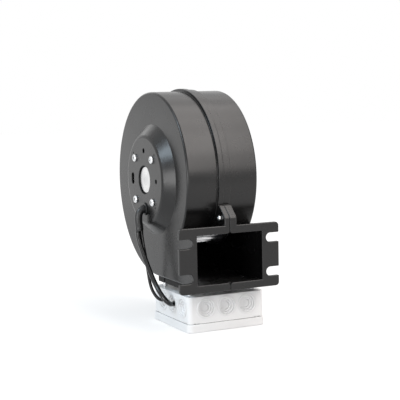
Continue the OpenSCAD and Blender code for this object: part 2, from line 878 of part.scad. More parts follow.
module impeller_backplate() {
  color(zinc_col)
    difference() {
      ring(backplate_x, blade_tip_r, can_r + 0.2, backplate_t);
      for (i = [0 : rivet_count - 1])
        along_axis(backplate_x - eps)
          rotate([0, 0, i * 360 / rivet_count])
            translate([rivet_r, 0, 0]) cylinder(r = 1.6, h = backplate_t + 2 * eps);
    }
}

// Angle on a blade's own arc at which it stands at a radius from the axis
function blade_angle(r) =
  acos((r * r - pow(blade_arc_c, 2) - pow(blade_arc_r, 2)) / (2 * blade_arc_c * blade_arc_r));

module impeller_blades() {
  a0 = blade_angle(blade_tip_r - blade_t);
  a1 = blade_angle(blade_root_r + blade_t);
  color(zinc_col)
    for (i = [0 : blade_count - 1])
      along_axis(blade_x)
        rotate([0, 0, i * 360 / blade_count])
          translate([blade_arc_c, 0, 0])
            rotate([0, 0, a0])
              rotate_extrude(angle = a1 - a0)
                translate([blade_arc_r - blade_t / 2, 0]) square([blade_t, blade_l]);
}

module impeller_end_ring() {
  color(steel_col)
    ring(ring_x, impeller_r, impeller_r - ring_w, ring_t);
}

module impeller_rivets() {
  color(zinc_col)
    for (i = [0 : rivet_count - 1])
      along_axis(can_flange_x)
        rotate([0, 0, i * 360 / rivet_count])
          translate([rivet_r, 0, 0]) {
            translate([0, 0, -1]) cylinder(r = 2.8, h = 1);
            translate([0, 0, -fit]) cylinder(r = 1.55, h = can_flange_t + backplate_t + 2 * fit);
            translate([0, 0, can_flange_t + backplate_t]) cylinder(r = 2.8, h = 1);
          }
}

// ---------------------------------------------------------------- cables

module cable_grommet() {
  color(cord_col)
    along_axis(plate_x)
      translate([0, -service_r, 0])
        difference() {
          union() {
            translate([0, 0, -1.6]) cylinder(r = cable_hole_d / 2 + 1.4, h = 1.6);
            cylinder(r = cable_hole_d / 2 - fit, h = wall + flange_disc_t);
          }
          translate([0, 0, -2 - eps])
            cylinder(r = sleeve_d / 2 + 0.25, h = wall + flange_disc_t + 3 + eps);
        }
}

module cable_sleeve() {
  color(cord_col) cord(sleeve_route, sleeve_d, 12);
}

module motor_cable() {
  color(cord_col) cord(motor_cable_route, motor_cable_d, 10);
}

module control_cable() {
  color(cord_col) cord(control_cable_route, control_cable_d, 8);
}

// ---------------------------------------------------------------- junction box

// What an entry is for: the two rear ones on the motor side take the cables
function entry_use(turn, k) =
  turn == 270 && k == 0 ? "motor" : turn == 270 && k == -1 ? "control" : "plain";

// The twelve cable entries: three on each side of the box
module at_entries(which) {
  // turn of each side, and how far its entries are moved along it
  sides = [[0, 0], [90, side_entry_shift], [180, 0], [270, -side_entry_shift]];
  translate([box_shift, 0, entry_z])
    for (s = sides, k = [-1, 0, 1])
      if (which == "all" || which == entry_use(s[0], k))
        rotate([0, 0, s[0]])
          translate([s[1] + k * entry_pitch, -box_body_side / 2, 0])
            rotate([90, 0, 0]) children();
}

module junction_box_base() {
  top = box_h - lid_h - lid_seam;
  color(box_col)
    difference() {
      union() {
        translate([box_shift, 0, lid_h + lid_seam])
          difference() {
            rounded_plate(box_body_side, box_body_side, top, box_r);
            translate([0, 0, -eps])
              rounded_plate(box_inner_side, box_inner_side, top - box_wall + eps, box_r - box_wall);
          }
        translate([box_shift, 0, lid_h + lid_seam])
          for (sx = [-1, 1], sy = [-1, 1])
            translate([sx * pillar_at, sy * pillar_at, 0]) cylinder(r = pillar_r, h = top - fit);
      }
      at_entries("all") translate([0, 0, -box_wall - eps]) cylinder(d = entry_d, h = box_wall + 2 * eps);
      translate([box_shift, 0, lid_h])
        for (sx = [-1, 1], sy = [-1, 1])
          translate([sx * pillar_at, sy * pillar_at, 0]) cylinder(r = 1.7, h = 15);
      standoff_holes(box_h - box_wall - eps, box_wall + 2 * eps);
      // latch notches beside each corner
      translate([box_shift, 0, lid_h])
        for (a = [0 : 90 : 270], s = [-1, 1], d = latch_at)
          rotate([0, 0, a])
            translate([s * d - latch_w / 2, -box_body_side / 2 - eps, 0])
              cube([latch_w, 1 + eps, latch_h]);
    }
}

module junction_box_lid() {
  color(box_col)
    translate([box_shift, 0, 0])
      difference() {
        union() {
          difference() {
            rounded_plate(box_side, box_side, lid_h, box_r + 1.5);
            translate([0, 0, lid_floor])
              rounded_plate(box_inner_side, box_inner_side, lid_h, box_r - box_wall);
          }
          for (sx = [-1, 1], sy = [-1, 1])
            translate([sx * pillar_at, sy * pillar_at, 1]) cylinder(r = pillar_r, h = lid_h - 1);
        }
        // groove for the gasket
        translate([0, 0, lid_h - gasket_d]) gasket_ring(gasket_d + eps, fit);
        for (sx = [-1, 1], sy = [-1, 1])
          translate([sx * pillar_at, sy * pillar_at, -eps]) {
            cylinder(r = 1.95, h = lid_h + 2 * eps);
            cylinder(r = 3.1, h = 3 + eps);
          }
      }
}

// A square ring with round corners; slack widens it on both sides
module gasket_ring(h, slack) {
  outer = box_body_side - 0.8;
  difference() {
    rounded_plate(outer + 2 * slack, outer + 2 * slack, h, box_r);
    translate([0, 0, -eps])
      rounded_plate(outer - 2 * gasket_w - 2 * slack, outer - 2 * gasket_w - 2 * slack,
                    h + 2 * eps, box_r - gasket_w);
  }
}

module junction_box_gasket() {
  color([0.35, 0.35, 0.37])
    translate([box_shift, 0, lid_h - gasket_d]) gasket_ring(gasket_d + lid_seam, 0);
}

module lid_screws() {
  color(seal_col)
    translate([box_shift, 0, 0])
      for (sx = [-1, 1], sy = [-1, 1])
        translate([sx * pillar_at, sy * pillar_at, 0.4])
          difference() {
            union() {
              cylinder(r = 3, h = 2.6);
              cylinder(r = 1.65, h = 22);
            }
            translate([-2.2, -0.5, -eps]) cube([4.4, 1, 1 + eps]);
          }
}

// A stepped rubber membrane, closed or with a hole for a cable of diameter d
module membrane(d) {
  r = entry_d / 2;
  difference() {
    union() {
      cylinder(r = r + 1, h = entry_lip);
      translate([0, 0, -box_wall]) cylinder(r = r - fit, h = box_wall + fit);
      translate([0, 0, -3.6]) cylinder(r = r - 3, h = 3);
      translate([0, 0, -5]) cylinder(r = r - 5.4, h = 3);
    }
    translate([0, 0, -0.6]) cylinder(r = r - 1.4, h = 3);
    translate([0, 0, -2.2]) cylinder(r = r - 4, h = 3);
    translate([0, 0, -3.8]) cylinder(r = r - 6.6, h = 3);
    if (d > 0)
      translate([0, 0, -6]) cylinder(d = d, h = 8);
  }
}

module entry_membranes() {
  color(seal_col) at_entries("plain") membrane(0);
}

module cable_entry_seals() {
  color(seal_col) {
    at_entries("motor") membrane(motor_cable_d + 2 * cable_clear);
    at_entries("control") membrane(control_cable_d + 2 * cable_clear);
  }
}

module terminal_block() {
  top_z = box_h - box_wall;
  color([0.9, 0.9, 0.88])
    difference() {
      translate([box_shift - block_size[0] / 2, -block_size[1] / 2, top_z - block_size[2]])
        cube(block_size);
      for (k = [-2 : 2])
        translate([box_shift + k * block_pole_pitch, 0, top_z - block_size[2] - eps])
          cylinder(r = block_well_r, h = block_well_l + eps);
      for (k = [-2 : 2])
        translate([box_shift + k * block_pole_pitch, -block_size[1] / 2 - eps, top_z - block_wire_z])
          rotate([-90, 0, 0]) cylinder(r = block_wire_r, h = 5 + eps);
    }
}

module terminal_screws() {
  color(zinc_col)
    for (k = [-2 : 2])
      translate([box_shift + k * block_pole_pitch, 0, box_h - box_wall - block_size[2] + 2])
        difference() {
          cylinder(r = block_well_r - 2 * fit, h = block_well_l - 2);
          translate([-2, -0.4, -eps]) cube([4, 0.8, 1 + eps]);
        }
}

// ---------------------------------------------------------------- bracket

module at_standoffs(z) {
  for (sx = [-1, 1], sy = [-1, 1])
    translate([box_shift + sx * standoff_pitch_x / 2, sy * standoff_pitch_y / 2, z]) children();
}

module standoff_holes(z, h) {
  at_standoffs(z) cylinder(d = small_screw_d + 0.2, h = h);
}

// Holes for the screws that hold the bracket to the duct's floor, at one x
module bracket_holes(x) {
  for (y = bracket_screw_y)
    translate([x, y, bracket_z - eps])
      cylinder(d = fixing_screw_d + 2 * fit, h = bracket_t + wall + 2 * eps);
}

module box_bracket() {
  len_y = bracket_back_y - bracket_front_y;
  mid_y = (bracket_back_y + bracket_front_y) / 2;
  color(housing_col)
    difference() {
      union() {
        translate([box_shift, mid_y, bracket_z])
          rounded_plate(2 * bracket_side, len_y, bracket_t, 5);
        for (s = [-1, 1])
          translate([box_shift + s * (bracket_side - bracket_t / 2) - bracket_t / 2,
                     bracket_front_y + 5, bracket_z - bracket_skirt])
            cube([bracket_t, len_y - 10, bracket_skirt + fit]);
      }
      standoff_holes(bracket_z - eps, bracket_t + 2 * eps);
      bracket_holes(bracket_screw_x);
      bracket_holes(-bracket_screw_x);
      // slots for a cable tie in the folded edges
      translate([box_shift - bracket_side - eps, tie_slot_y, bracket_z - bracket_skirt - eps])
        cube([2 * bracket_side + 2 * eps, tie_slot_w, bracket_skirt]);
      // room for the seam's band
      translate([-band_motor_w - 2, bracket_back_y - 14, bracket_z - eps])
        cube([band_motor_w + band_inlet_w + 4, 15, bracket_t + 2 * eps]);
    }
}

module box_standoffs() {
  color(zinc_col)
    at_standoffs(box_h)
      difference() {
        cylinder(d = standoff_d, h = bracket_z - box_h);
        translate([0, 0, -eps])
          cylinder(d = small_screw_d + 0.2, h = bracket_z - box_h + 2 * eps);
      }
}

module box_screws() {
  head_h = 2.2;
  color(zinc_col)
    at_standoffs(box_h - box_wall - head_h)
      difference() {
        union() {
          cylinder(d = 2 * small_screw_d, h = head_h);
          cylinder(d = small_screw_d, h = head_h + box_wall + bracket_z - box_h + bracket_t - 0.2);
        }
        translate([0, 0, -eps]) cylinder(r = 1.3, h = 1.2 + eps, $fn = 6);
      }
}

module bracket_screws() {
  color(zinc_col)
    for (x = [-bracket_screw_x, bracket_screw_x], y = bracket_screw_y)
      translate([x, y, bracket_z])
        difference() {
          union() {
            translate([0, 0, -2.6]) cylinder(r = 3.7, h = 2.6);
            translate([0, 0, -eps]) cylinder(d = fixing_screw_d, h = bracket_t + wall + eps);
          }
          translate([0, 0, -2.6 - eps]) cylinder(r = 1.6, h = 1.4 + eps, $fn = 6);
        }
}

motor_side_housing();
inlet_side_housing();
seam_screws();
seam_nuts();
inlet_nozzle();
nozzle_screws();
stator_flange();
motor_mount_screws();
stator_core();
stator_windings();
motor_circuit_board();
bearing_outer_races();
bearing_inner_races();
bearing_balls();
bearing_cages();
bearing_spacer();
wave_washer();
shaft_circlip();
motor_shaft();
rotor_can();
rotor_magnets();
impeller_backplate();
impeller_blades();
impeller_end_ring();
impeller_rivets();
cable_grommet();
cable_sleeve();
motor_cable();
control_cable();
junction_box_base();
junction_box_lid();
junction_box_gasket();
lid_screws();
entry_membranes();
cable_entry_seals();
terminal_block();
terminal_screws();
box_bracket();
box_standoffs();
box_screws();
bracket_screws();
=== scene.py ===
# %% [markdown]
# # A centrifugal blower on its junction box
# This lesson dresses a packed construction model: a split scroll housing with a
# slotted outlet flange, a drum impeller on an external-rotor motor, and a square
# junction box underneath. The model gives every place and size, and Blender adds
# rounded edges, turned and moulded surfaces, and light.

# %% Load the fixed frame
import json
import math

import bmesh
import bpy
from mathutils import Matrix, Vector


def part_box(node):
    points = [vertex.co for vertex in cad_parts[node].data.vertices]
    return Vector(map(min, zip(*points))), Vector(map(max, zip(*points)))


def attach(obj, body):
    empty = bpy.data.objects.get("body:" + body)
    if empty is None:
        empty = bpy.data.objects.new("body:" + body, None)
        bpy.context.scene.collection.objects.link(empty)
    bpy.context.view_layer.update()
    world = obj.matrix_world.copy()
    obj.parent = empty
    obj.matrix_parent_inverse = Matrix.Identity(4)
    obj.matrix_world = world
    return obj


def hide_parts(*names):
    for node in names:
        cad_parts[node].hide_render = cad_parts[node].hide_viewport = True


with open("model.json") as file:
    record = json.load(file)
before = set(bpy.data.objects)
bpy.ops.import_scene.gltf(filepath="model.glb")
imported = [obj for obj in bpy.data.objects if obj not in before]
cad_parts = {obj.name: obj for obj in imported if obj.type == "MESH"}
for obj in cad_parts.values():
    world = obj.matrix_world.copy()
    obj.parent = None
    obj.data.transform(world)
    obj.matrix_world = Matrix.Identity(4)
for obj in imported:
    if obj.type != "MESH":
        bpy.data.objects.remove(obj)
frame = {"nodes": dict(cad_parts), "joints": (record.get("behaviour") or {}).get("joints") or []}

MM = 0.001
# a shorter length counts as none
NO_LENGTH = 1e-7
nodes = frame["nodes"]
axis_at = Vector(frame["joints"][0]["pos_m"])
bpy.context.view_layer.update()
print("nodes", len(nodes), "spin axis at", [round(v, 4) for v in axis_at])

# %% [markdown]
# ## Camera
# A long lens keeps the blower's flat side nearly parallel. Three angles and a
# place say where the camera stands. Blender could aim it with a Track To
# constraint. The basis is built by hand here, so that the small roll of a
# hand-held camera can be part of it.

# %% Place the camera
CAMERA_PLACE = (-0.5699, -1.1755, 0.2879)
CAMERA_ANGLES = (-25.89, 5.90, -1.15)
SENSOR_MM, LENS_MM, NEAREST_SEEN = 36, 95.886, 0.05

turn, lift, roll = (math.radians(a) for a in CAMERA_ANGLES)
back = Vector((math.sin(turn) * math.cos(lift),
               -math.cos(turn) * math.cos(lift),
               math.sin(lift)))
level = Vector((math.cos(turn), math.sin(turn), 0))
upright = back.cross(level)
right = math.cos(roll) * level + math.sin(roll) * upright
up = -math.sin(roll) * level + math.cos(roll) * upright

lens_data = bpy.data.cameras.new("studio_camera")
lens_data.sensor_width = SENSOR_MM
lens_data.lens = LENS_MM
lens_data.clip_start = NEAREST_SEEN
camera = bpy.data.objects.new("studio_camera", lens_data)
basis = Matrix((right, up, back)).transposed().to_4x4()
camera.matrix_world = Matrix.Translation(CAMERA_PLACE) @ basis
bpy.context.scene.collection.objects.link(camera)
bpy.context.scene.camera = camera
bpy.context.scene.view_settings.view_transform = "Standard"
print("camera right", [round(v, 3) for v in right], "up", [round(v, 3) for v in up])

# %% [markdown]
# ## Light
# Dark satin plastic shows its shape by what it mirrors, so every lamp stands where
# a surface mirrors it. Sun or point lamps would leave hard dots, so all of them are
# area lamps. Five panels form an arch over the fan and give the round wall one
# smooth band of light. A cool window on the motor side is for the dome. Two weak
# lamps behind are mirrored by the flat side, and two light the pale box.

# %% Hang the lamps
WARM, COOL, WHITE = (1, 0.945, 0.915), (0.74, 0.88, 1), (1, 1, 1)


def soft_lamp(name, place, aim, size, level, tint):
    data = bpy.data.lights.new(name, "AREA")
    data.shape = "RECTANGLE"
    data.size, data.size_y = size
    # the level is the brightness of the lamp's face, whatever its size
    data.energy = level * math.pi * size[0] * size[1]
    data.color = tint
    lamp = bpy.data.objects.new(name, data)
    lamp.location = place
    towards = Vector(aim) - Vector(place)
    lamp.rotation_euler = towards.to_track_quat("-Z", "Y").to_euler()
    bpy.context.scene.collection.objects.link(lamp)


ARCH_MIDDLE, ARCH_RADIUS = Vector((0.36, 0, 0.17)), 1.08
for degrees, level in ((-30, 0.7), (-5, 3.0), (20, 4.2), (45, 5.3), (70, 3.7)):
    a = math.radians(degrees)
    place = ARCH_MIDDLE + ARCH_RADIUS * Vector((0, -math.sin(a), math.cos(a)))
    soft_lamp("arch_panel", place, ARCH_MIDDLE, (0.6, 0.5), level, WARM)

FAN_MIDDLE, BOX_MIDDLE = (0, 0, 0.17), (0, 0, 0.05)
soft_lamp("window_left", (-0.65, -0.02, 0.75), FAN_MIDDLE, (0.3, 0.45), 9.6, COOL)
soft_lamp("behind_low", (-0.5, 1.0, 0.14), FAN_MIDDLE, (0.8, 0.24), 0.3, WHITE)
soft_lamp("behind_top", (-0.1, 1.1, 0.7), FAN_MIDDLE, (0.6, 0.3), 0.8, WHITE)
soft_lamp("beside_left", (-1.02, -0.45, 0.22), FAN_MIDDLE, (0.45, 0.38), 8.2, WHITE)
soft_lamp("front_low", (-0.3, -1.15, 0.15), BOX_MIDDLE, (0.5, 0.2), 3.6, WHITE)

# %% [markdown]
# ## Node helpers
# Materials and Geometry Nodes trees are both graphs. One small function adds a
# node and fills its sockets: a value is set, and a socket is linked. A socket is
# named by its label, or by its number where labels repeat, as in i0 and i1. Nodes
# could be wired one link at a time, but the recipes below would be much longer.

# %% Add a node and fill its sockets
def add(tree, kind, settings=None, **sockets):
    node = tree.nodes.new(kind)
    for key, value in (settings or {}).items():
        setattr(node, key, value)
    for key, value in sockets.items():
        name = key.replace("_", " ")
        found = [s for s in node.inputs if s.name == name and s.enabled]
        socket = found[0] if found else node.inputs[int(key[1:])]
        if isinstance(value, bpy.types.NodeSocket):
            tree.links.new(value, socket)
        else:
            socket.default_value = value
    return node


def math_node(tree, operation, a, b=0.0):
    return add(tree, "ShaderNodeMath", {"operation": operation}, i0=a, i1=b).outputs[0]


def ramp(tree, value, low, high, out_low=0.0, out_high=1.0):
    return add(tree, "ShaderNodeMapRange", {"clamp": True}, Value=value, From_Min=low,
               From_Max=high, To_Min=out_low, To_Max=out_high).outputs[0]


def start_group(name, inputs, outputs):
    tree = bpy.data.node_groups.new(name, "ShaderNodeTree")
    for label, value in inputs:
        socket = tree.interface.new_socket(label, in_out="INPUT",
                                           socket_type="NodeSocketFloat")
        socket.default_value = value
    for label in outputs:
        tree.interface.new_socket(label, in_out="OUTPUT", socket_type="NodeSocketFloat")
    return tree, tree.nodes.new("NodeGroupInput"), tree.nodes.new("NodeGroupOutput")


# %% [markdown]
# ## Surface effects
# Four effects serve all the finishes: the pebbled grain of moulded plastic, the
# concentric marks of a lathe, the flow marks of rolled sheet, and the dust and
# rubbing that every used surface has. A painted texture would need the faces
# unfolded, so each effect is a node group that reads the place on the object. The
# first three give a height for a bump and a tone for the colour, and the last
# gives two masks.

# %% Moulded grain
grain, enter, leave = start_group("moulded_grain", [("Scale", 900.0), ("Cloud", 14.0)],
                                  ["Height", "Tone"])
place = add(grain, "ShaderNodeTexCoord").outputs["Object"]
pebbles = add(grain, "ShaderNodeTexVoronoi", Vector=place, Scale=enter.outputs["Scale"])
fine = add(grain, "ShaderNodeTexNoise", Vector=place, Scale=enter.outputs["Scale"], Detail=3.0)
cloud = add(grain, "ShaderNodeTexNoise", Vector=place, Scale=enter.outputs["Cloud"], Detail=4.0)
height = math_node(grain, "ADD", pebbles.outputs["Distance"], fine.outputs[0])
grain.links.new(height, leave.inputs["Height"])
grain.links.new(ramp(grain, cloud.outputs[0], 0.3, 0.7), leave.inputs["Tone"])

# %% Lathe marks round the spin axis
# only the turned disc in the middle is bright, and the cast body round it is dark
DISC_EDGE, CAST_FROM = 16 * MM, 17 * MM
rings, enter, leave = start_group("lathe_marks", [("Scale", 700.0)], ["Height", "Tone"])
place = add(rings, "ShaderNodeTexCoord").outputs["Object"]
centred = add(rings, "ShaderNodeVectorMath", {"operation": "SUBTRACT"}, i0=place, i1=axis_at)
across = add(rings, "ShaderNodeVectorMath", {"operation": "MULTIPLY"},
             i0=centred.outputs[0], i1=(0, 1, 1))
length = add(rings, "ShaderNodeVectorMath", {"operation": "LENGTH"}, i0=across.outputs[0])
radius = length.outputs["Value"]
marks = add(rings, "ShaderNodeTexNoise", {"noise_dimensions": "1D"}, W=radius,
            Scale=enter.outputs["Scale"], Detail=4.0)
broad = add(rings, "ShaderNodeTexNoise", Vector=place, Scale=60.0, Detail=2.0)
rings.links.new(marks.outputs[0], leave.inputs["Height"])
tone = math_node(rings, "MULTIPLY", marks.outputs[0], broad.outputs[0])
turned = ramp(rings, radius, DISC_EDGE, CAST_FROM, 1.0, 0.0)
tone = math_node(rings, "MULTIPLY", ramp(rings, tone, 0.1, 0.45, 0.5, 1.0), turned)
rings.links.new(tone, leave.inputs["Tone"])

# %% Flow marks of rolled sheet, with zinc crystals
rolled, enter, leave = start_group("rolled_sheet", [("Scale", 120.0), ("Crystals", 0.5)],
                                   ["Height", "Tone"])
place = add(rolled, "ShaderNodeTexCoord").outputs["Object"]
stretched = add(rolled, "ShaderNodeMapping", Vector=place, Scale=(0.08, 1.0, 1.0))
lines = add(rolled, "ShaderNodeTexNoise", Vector=stretched.outputs[0], Scale=1400.0, Detail=3.0)
crystals = add(rolled, "ShaderNodeTexVoronoi", Vector=place, Scale=enter.outputs["Scale"])
split = add(rolled, "ShaderNodeSeparateColor", Color=crystals.outputs["Color"])
spangle = math_node(rolled, "MULTIPLY", split.outputs[0], enter.outputs["Crystals"])
rolled.links.new(lines.outputs[0], leave.inputs["Height"])
tone = math_node(rolled, "ADD", spangle, math_node(rolled, "MULTIPLY", lines.outputs[0], 0.5))
rolled.links.new(ramp(rolled, tone, 0.15, 0.85), leave.inputs["Tone"])

# %% Dust that settles on upward faces, and scattered scuffs
worn, enter, leave = start_group("dust_and_rub", [("Dust", 0.5), ("Rub", 0.5)], ["Dust", "Rub"])
place = add(worn, "ShaderNodeTexCoord").outputs["Object"]
normal = add(worn, "ShaderNodeNewGeometry").outputs["Normal"]
facing = add(worn, "ShaderNodeSeparateXYZ", i0=normal)
specks = add(worn, "ShaderNodeTexNoise", Vector=place, Scale=240.0, Detail=6.0)
patches = add(worn, "ShaderNodeTexNoise", Vector=place, Scale=22.0, Detail=5.0)
upward = ramp(worn, facing.outputs["Z"], 0.2, 1.0)
dusty = math_node(worn, "MULTIPLY", upward, ramp(worn, patches.outputs[0], 0.35, 0.75))
worn.links.new(math_node(worn, "MULTIPLY", dusty, enter.outputs["Dust"]), leave.inputs["Dust"])
scuffs = math_node(worn, "MULTIPLY", ramp(worn, specks.outputs[0], 0.62, 0.72),
                   ramp(worn, patches.outputs[0], 0.5, 0.6))
worn.links.new(math_node(worn, "MULTIPLY", scuffs, enter.outputs["Rub"]), leave.inputs["Rub"])
print("effects", [g.name for g in bpy.data.node_groups])

# %% [markdown]
# ## Finishes
# Every finish is one Principled shader fed by these effects. The tone moves the
# colour between two near values, dust and rubbing lighten it, and the height goes
# through a bump. One function makes them all, so that the finishes differ only in
# their numbers. Constant numbers stay on the shader's own sockets, because the
# export reads them there.

# %% Make a finish from an effect
BUMP_DEPTH = 0.05 * MM
WORN_ROUGHNESS = 0.15


def mixed(tree, amount, a, b):
    node = tree.nodes.new("ShaderNodeMix")
    node.data_type = "RGBA"
    sockets = [s for s in node.inputs if s.enabled]
    for socket, value in zip(sockets, (amount, a, b)):
        if isinstance(value, bpy.types.NodeSocket):
            tree.links.new(value, socket)
        else:
            socket.default_value = value
    return [s for s in node.outputs if s.enabled][0]


def finish(name, dark, light, rough, effect, values, bump, metal=0.0, dust=0.2, rub=0.2,
           worn_colour=(0.3, 0.3, 0.3), specular=0.5):
    made = bpy.data.materials.new(name)
    made.use_nodes = True
    tree = made.node_tree
    shader = tree.nodes["Principled BSDF"]
    group = add(tree, "ShaderNodeGroup", {"node_tree": effect}, **values)
    wear = add(tree, "ShaderNodeGroup", {"node_tree": worn}, Dust=dust, Rub=rub)
    colour = mixed(tree, group.outputs["Tone"], (*dark, 1), (*light, 1))
    dulled = math_node(tree, "MAXIMUM", wear.outputs["Dust"], wear.outputs["Rub"])
    colour = mixed(tree, dulled, colour, (*worn_colour, 1))
    tree.links.new(colour, shader.inputs["Base Color"])
    roughness = ramp(tree, group.outputs["Tone"], 0.0, 1.0, *rough)
    rougher = math_node(tree, "MULTIPLY", dulled, WORN_ROUGHNESS)
    tree.links.new(math_node(tree, "ADD", roughness, rougher), shader.inputs["Roughness"])
    relief = add(tree, "ShaderNodeBump", Height=group.outputs["Height"], Strength=bump,
                 Distance=BUMP_DEPTH)
    tree.links.new(relief.outputs[0], shader.inputs["Normal"])
    shader.inputs["Metallic"].default_value = metal
    shader.inputs["Specular IOR Level"].default_value = specular
    return made


# %% Finishes of the moulded and rubber pieces
housing_plastic = finish(
    "housing_plastic", (0.0028, 0.0028, 0.003), (0.0046, 0.0044, 0.0044), (0.24, 0.3), grain,
    {"Scale": 1500.0, "Cloud": 22.0}, 0.2, dust=0.05, rub=0.03,
    worn_colour=(0.09, 0.09, 0.09), specular=0.4)
box_plastic = finish(
    "box_plastic", (0.78, 0.785, 0.79), (0.82, 0.822, 0.825), (0.42, 0.5), grain,
    {"Scale": 1100.0, "Cloud": 18.0}, 0.2, dust=0.03, rub=0.02, worn_colour=(0.6, 0.6, 0.6))
membrane_rubber = finish(
    "membrane_rubber", (0.74, 0.745, 0.75), (0.79, 0.795, 0.8), (0.5, 0.6), grain,
    {"Scale": 1400.0, "Cloud": 40.0}, 0.15, dust=0.05, rub=0.0, worn_colour=(0.5, 0.5, 0.5))
gasket_foam = finish(
    "gasket_foam", (0.06, 0.06, 0.065), (0.1, 0.1, 0.105), (0.8, 0.9), grain,
    {"Scale": 2600.0, "Cloud": 60.0}, 0.6, dust=0.1, rub=0.0)
cable_jacket = finish(
    "cable_jacket", (0.002, 0.002, 0.0022), (0.004, 0.004, 0.0044), (0.12, 0.18), grain,
    {"Scale": 500.0, "Cloud": 60.0}, 0.05, dust=0.03, rub=0.03, worn_colour=(0.06, 0.06, 0.06))
sleeve_rubber = finish(
    "sleeve_rubber", (0.004, 0.004, 0.0045), (0.009, 0.009, 0.0095), (0.3, 0.4), grain,
    {"Scale": 900.0, "Cloud": 60.0}, 0.3, dust=0.06, rub=0.04, worn_colour=(0.1, 0.1, 0.1))
block_plastic = finish(
    "block_plastic", (0.62, 0.61, 0.58), (0.7, 0.69, 0.66), (0.4, 0.5), grain,
    {"Scale": 900.0, "Cloud": 30.0}, 0.15, dust=0.05, rub=0.0)
board_mask = finish(
    "board_mask", (0.008, 0.06, 0.03), (0.012, 0.09, 0.045), (0.25, 0.35), grain,
    {"Scale": 400.0, "Cloud": 90.0}, 0.2, dust=0.1, rub=0.1)

# %% Finishes of the metal pieces
zinc = finish(
    "bright_zinc", (0.62, 0.63, 0.64), (0.8, 0.8, 0.8), (0.2, 0.34), rolled,
    {"Scale": 300.0, "Crystals": 0.25}, 0.08, metal=1.0, dust=0.05, rub=0.1,
    worn_colour=(0.5, 0.5, 0.5))
sheet = finish(
    "galvanised_sheet", (0.46, 0.47, 0.48), (0.62, 0.63, 0.64), (0.28, 0.4), rolled,
    {"Scale": 260.0, "Crystals": 0.5}, 0.12, metal=1.0, dust=0.08, rub=0.1,
    worn_colour=(0.45, 0.45, 0.45))
# galvanised sheet darkened: the darker blades, back plate and end ring are painted shade inside
# the housing
blade_sheet_painted_shade = finish(
    "blade_sheet_painted_shade", (0.2, 0.21, 0.22), (0.34, 0.35, 0.36), (0.26, 0.36), rolled,
    {"Scale": 150.0, "Crystals": 0.5}, 0.1, metal=1.0, dust=0.05, rub=0.05,
    worn_colour=(0.25, 0.25, 0.25))
turned_alu = finish(
    "turned_aluminium", (0.2, 0.205, 0.21), (0.8, 0.8, 0.8), (0.4, 0.32), rings,
    {"Scale": 900.0}, 0.4, metal=1.0, dust=0.0, rub=0.05, worn_colour=(0.6, 0.6, 0.6))
core_steel = finish(
    "core_steel", (0.24, 0.25, 0.27), (0.4, 0.41, 0.43), (0.35, 0.5), rolled,
    {"Scale": 400.0, "Crystals": 0.2}, 0.3, metal=1.0, dust=0.1, rub=0.1)
ground_steel = finish(
    "ground_steel", (0.5, 0.5, 0.52), (0.66, 0.66, 0.67), (0.12, 0.24), rings,
    {"Scale": 2400.0}, 0.2, metal=1.0, dust=0.0, rub=0.05)
winding_copper = finish(
    "winding_copper", (0.5, 0.19, 0.07), (0.72, 0.32, 0.13), (0.25, 0.4), rolled,
    {"Scale": 900.0, "Crystals": 0.3}, 0.6, metal=1.0, dust=0.1, rub=0.0)
cage_brass = finish(
    "cage_brass", (0.55, 0.38, 0.13), (0.7, 0.52, 0.22), (0.22, 0.36), rings,
    {"Scale": 1500.0}, 0.2, metal=1.0, dust=0.0, rub=0.05)
magnet_ferrite = finish(
    "magnet_ferrite", (0.03, 0.03, 0.033), (0.05, 0.05, 0.055), (0.5, 0.65), grain,
    {"Scale": 1200.0, "Cloud": 40.0}, 0.4, dust=0.1, rub=0.1)
# a black coat, darkened further and given little sheen as painted shade for the gap under the
# scroll
bracket_coat_painted_shade = finish(
    "bracket_coat_painted_shade", (0.003, 0.003, 0.0035), (0.005, 0.005, 0.0055), (0.5, 0.6), grain,
    {"Scale": 1700.0, "Cloud": 30.0}, 0.5, dust=0.03, rub=0.03,
    worn_colour=(0.05, 0.05, 0.05), specular=0.2)
print("finishes", len(bpy.data.materials))

# %% [markdown]
# ## Room and floor
# The floor is a plain pale sheet. Part of its white is its own colour and part is
# light that only the camera and shiny surfaces see, so that it reads white and
# still keeps the blower's soft shadow. That light grows away from the blower, as a
# lit backdrop does, and so the sheet has no visible end. Stronger lamps could
# whiten it as well, but they would bleach the box. The world does the same for
# the room.

# %% Floor and world
FLOOR_HALF, FLOOR_DROP = 6, 0.0002
GLOW_FROM, GLOW_TO = 0.25, 1.5
GLOW_NEAR, GLOW_FAR = 0.55, 0.84
ROOM_LIGHT, ROOM_SEEN = 0.4, 1.0


def seen_directly(tree):
    path = tree.nodes.new("ShaderNodeLightPath")
    seen = math_node(tree, "MAXIMUM", path.outputs["Is Camera Ray"],
                     path.outputs["Is Glossy Ray"])
    return math_node(tree, "MAXIMUM", seen, path.outputs["Is Transmission Ray"])


floor_paint = bpy.data.materials.new("floor_paint")
floor_paint.use_nodes = True
tree = floor_paint.node_tree
paint = tree.nodes["Principled BSDF"]
paint.inputs["Base Color"].default_value = (0.5, 0.5, 0.5, 1)
paint.inputs["Roughness"].default_value = 0.9
paint.inputs["Specular IOR Level"].default_value = 0.0
place = add(tree, "ShaderNodeTexCoord").outputs["Object"]
length = add(tree, "ShaderNodeVectorMath", {"operation": "LENGTH"}, i0=place)
brighter = ramp(tree, length.outputs["Value"], GLOW_FROM, GLOW_TO, GLOW_NEAR, GLOW_FAR)
glow = add(tree, "ShaderNodeEmission", Color=(1, 1, 1, 1),
           Strength=math_node(tree, "MULTIPLY", seen_directly(tree), brighter))
both = add(tree, "ShaderNodeAddShader", i0=paint.outputs[0], i1=glow.outputs[0])
tree.links.new(both.outputs[0], tree.nodes["Material Output"].inputs["Surface"])

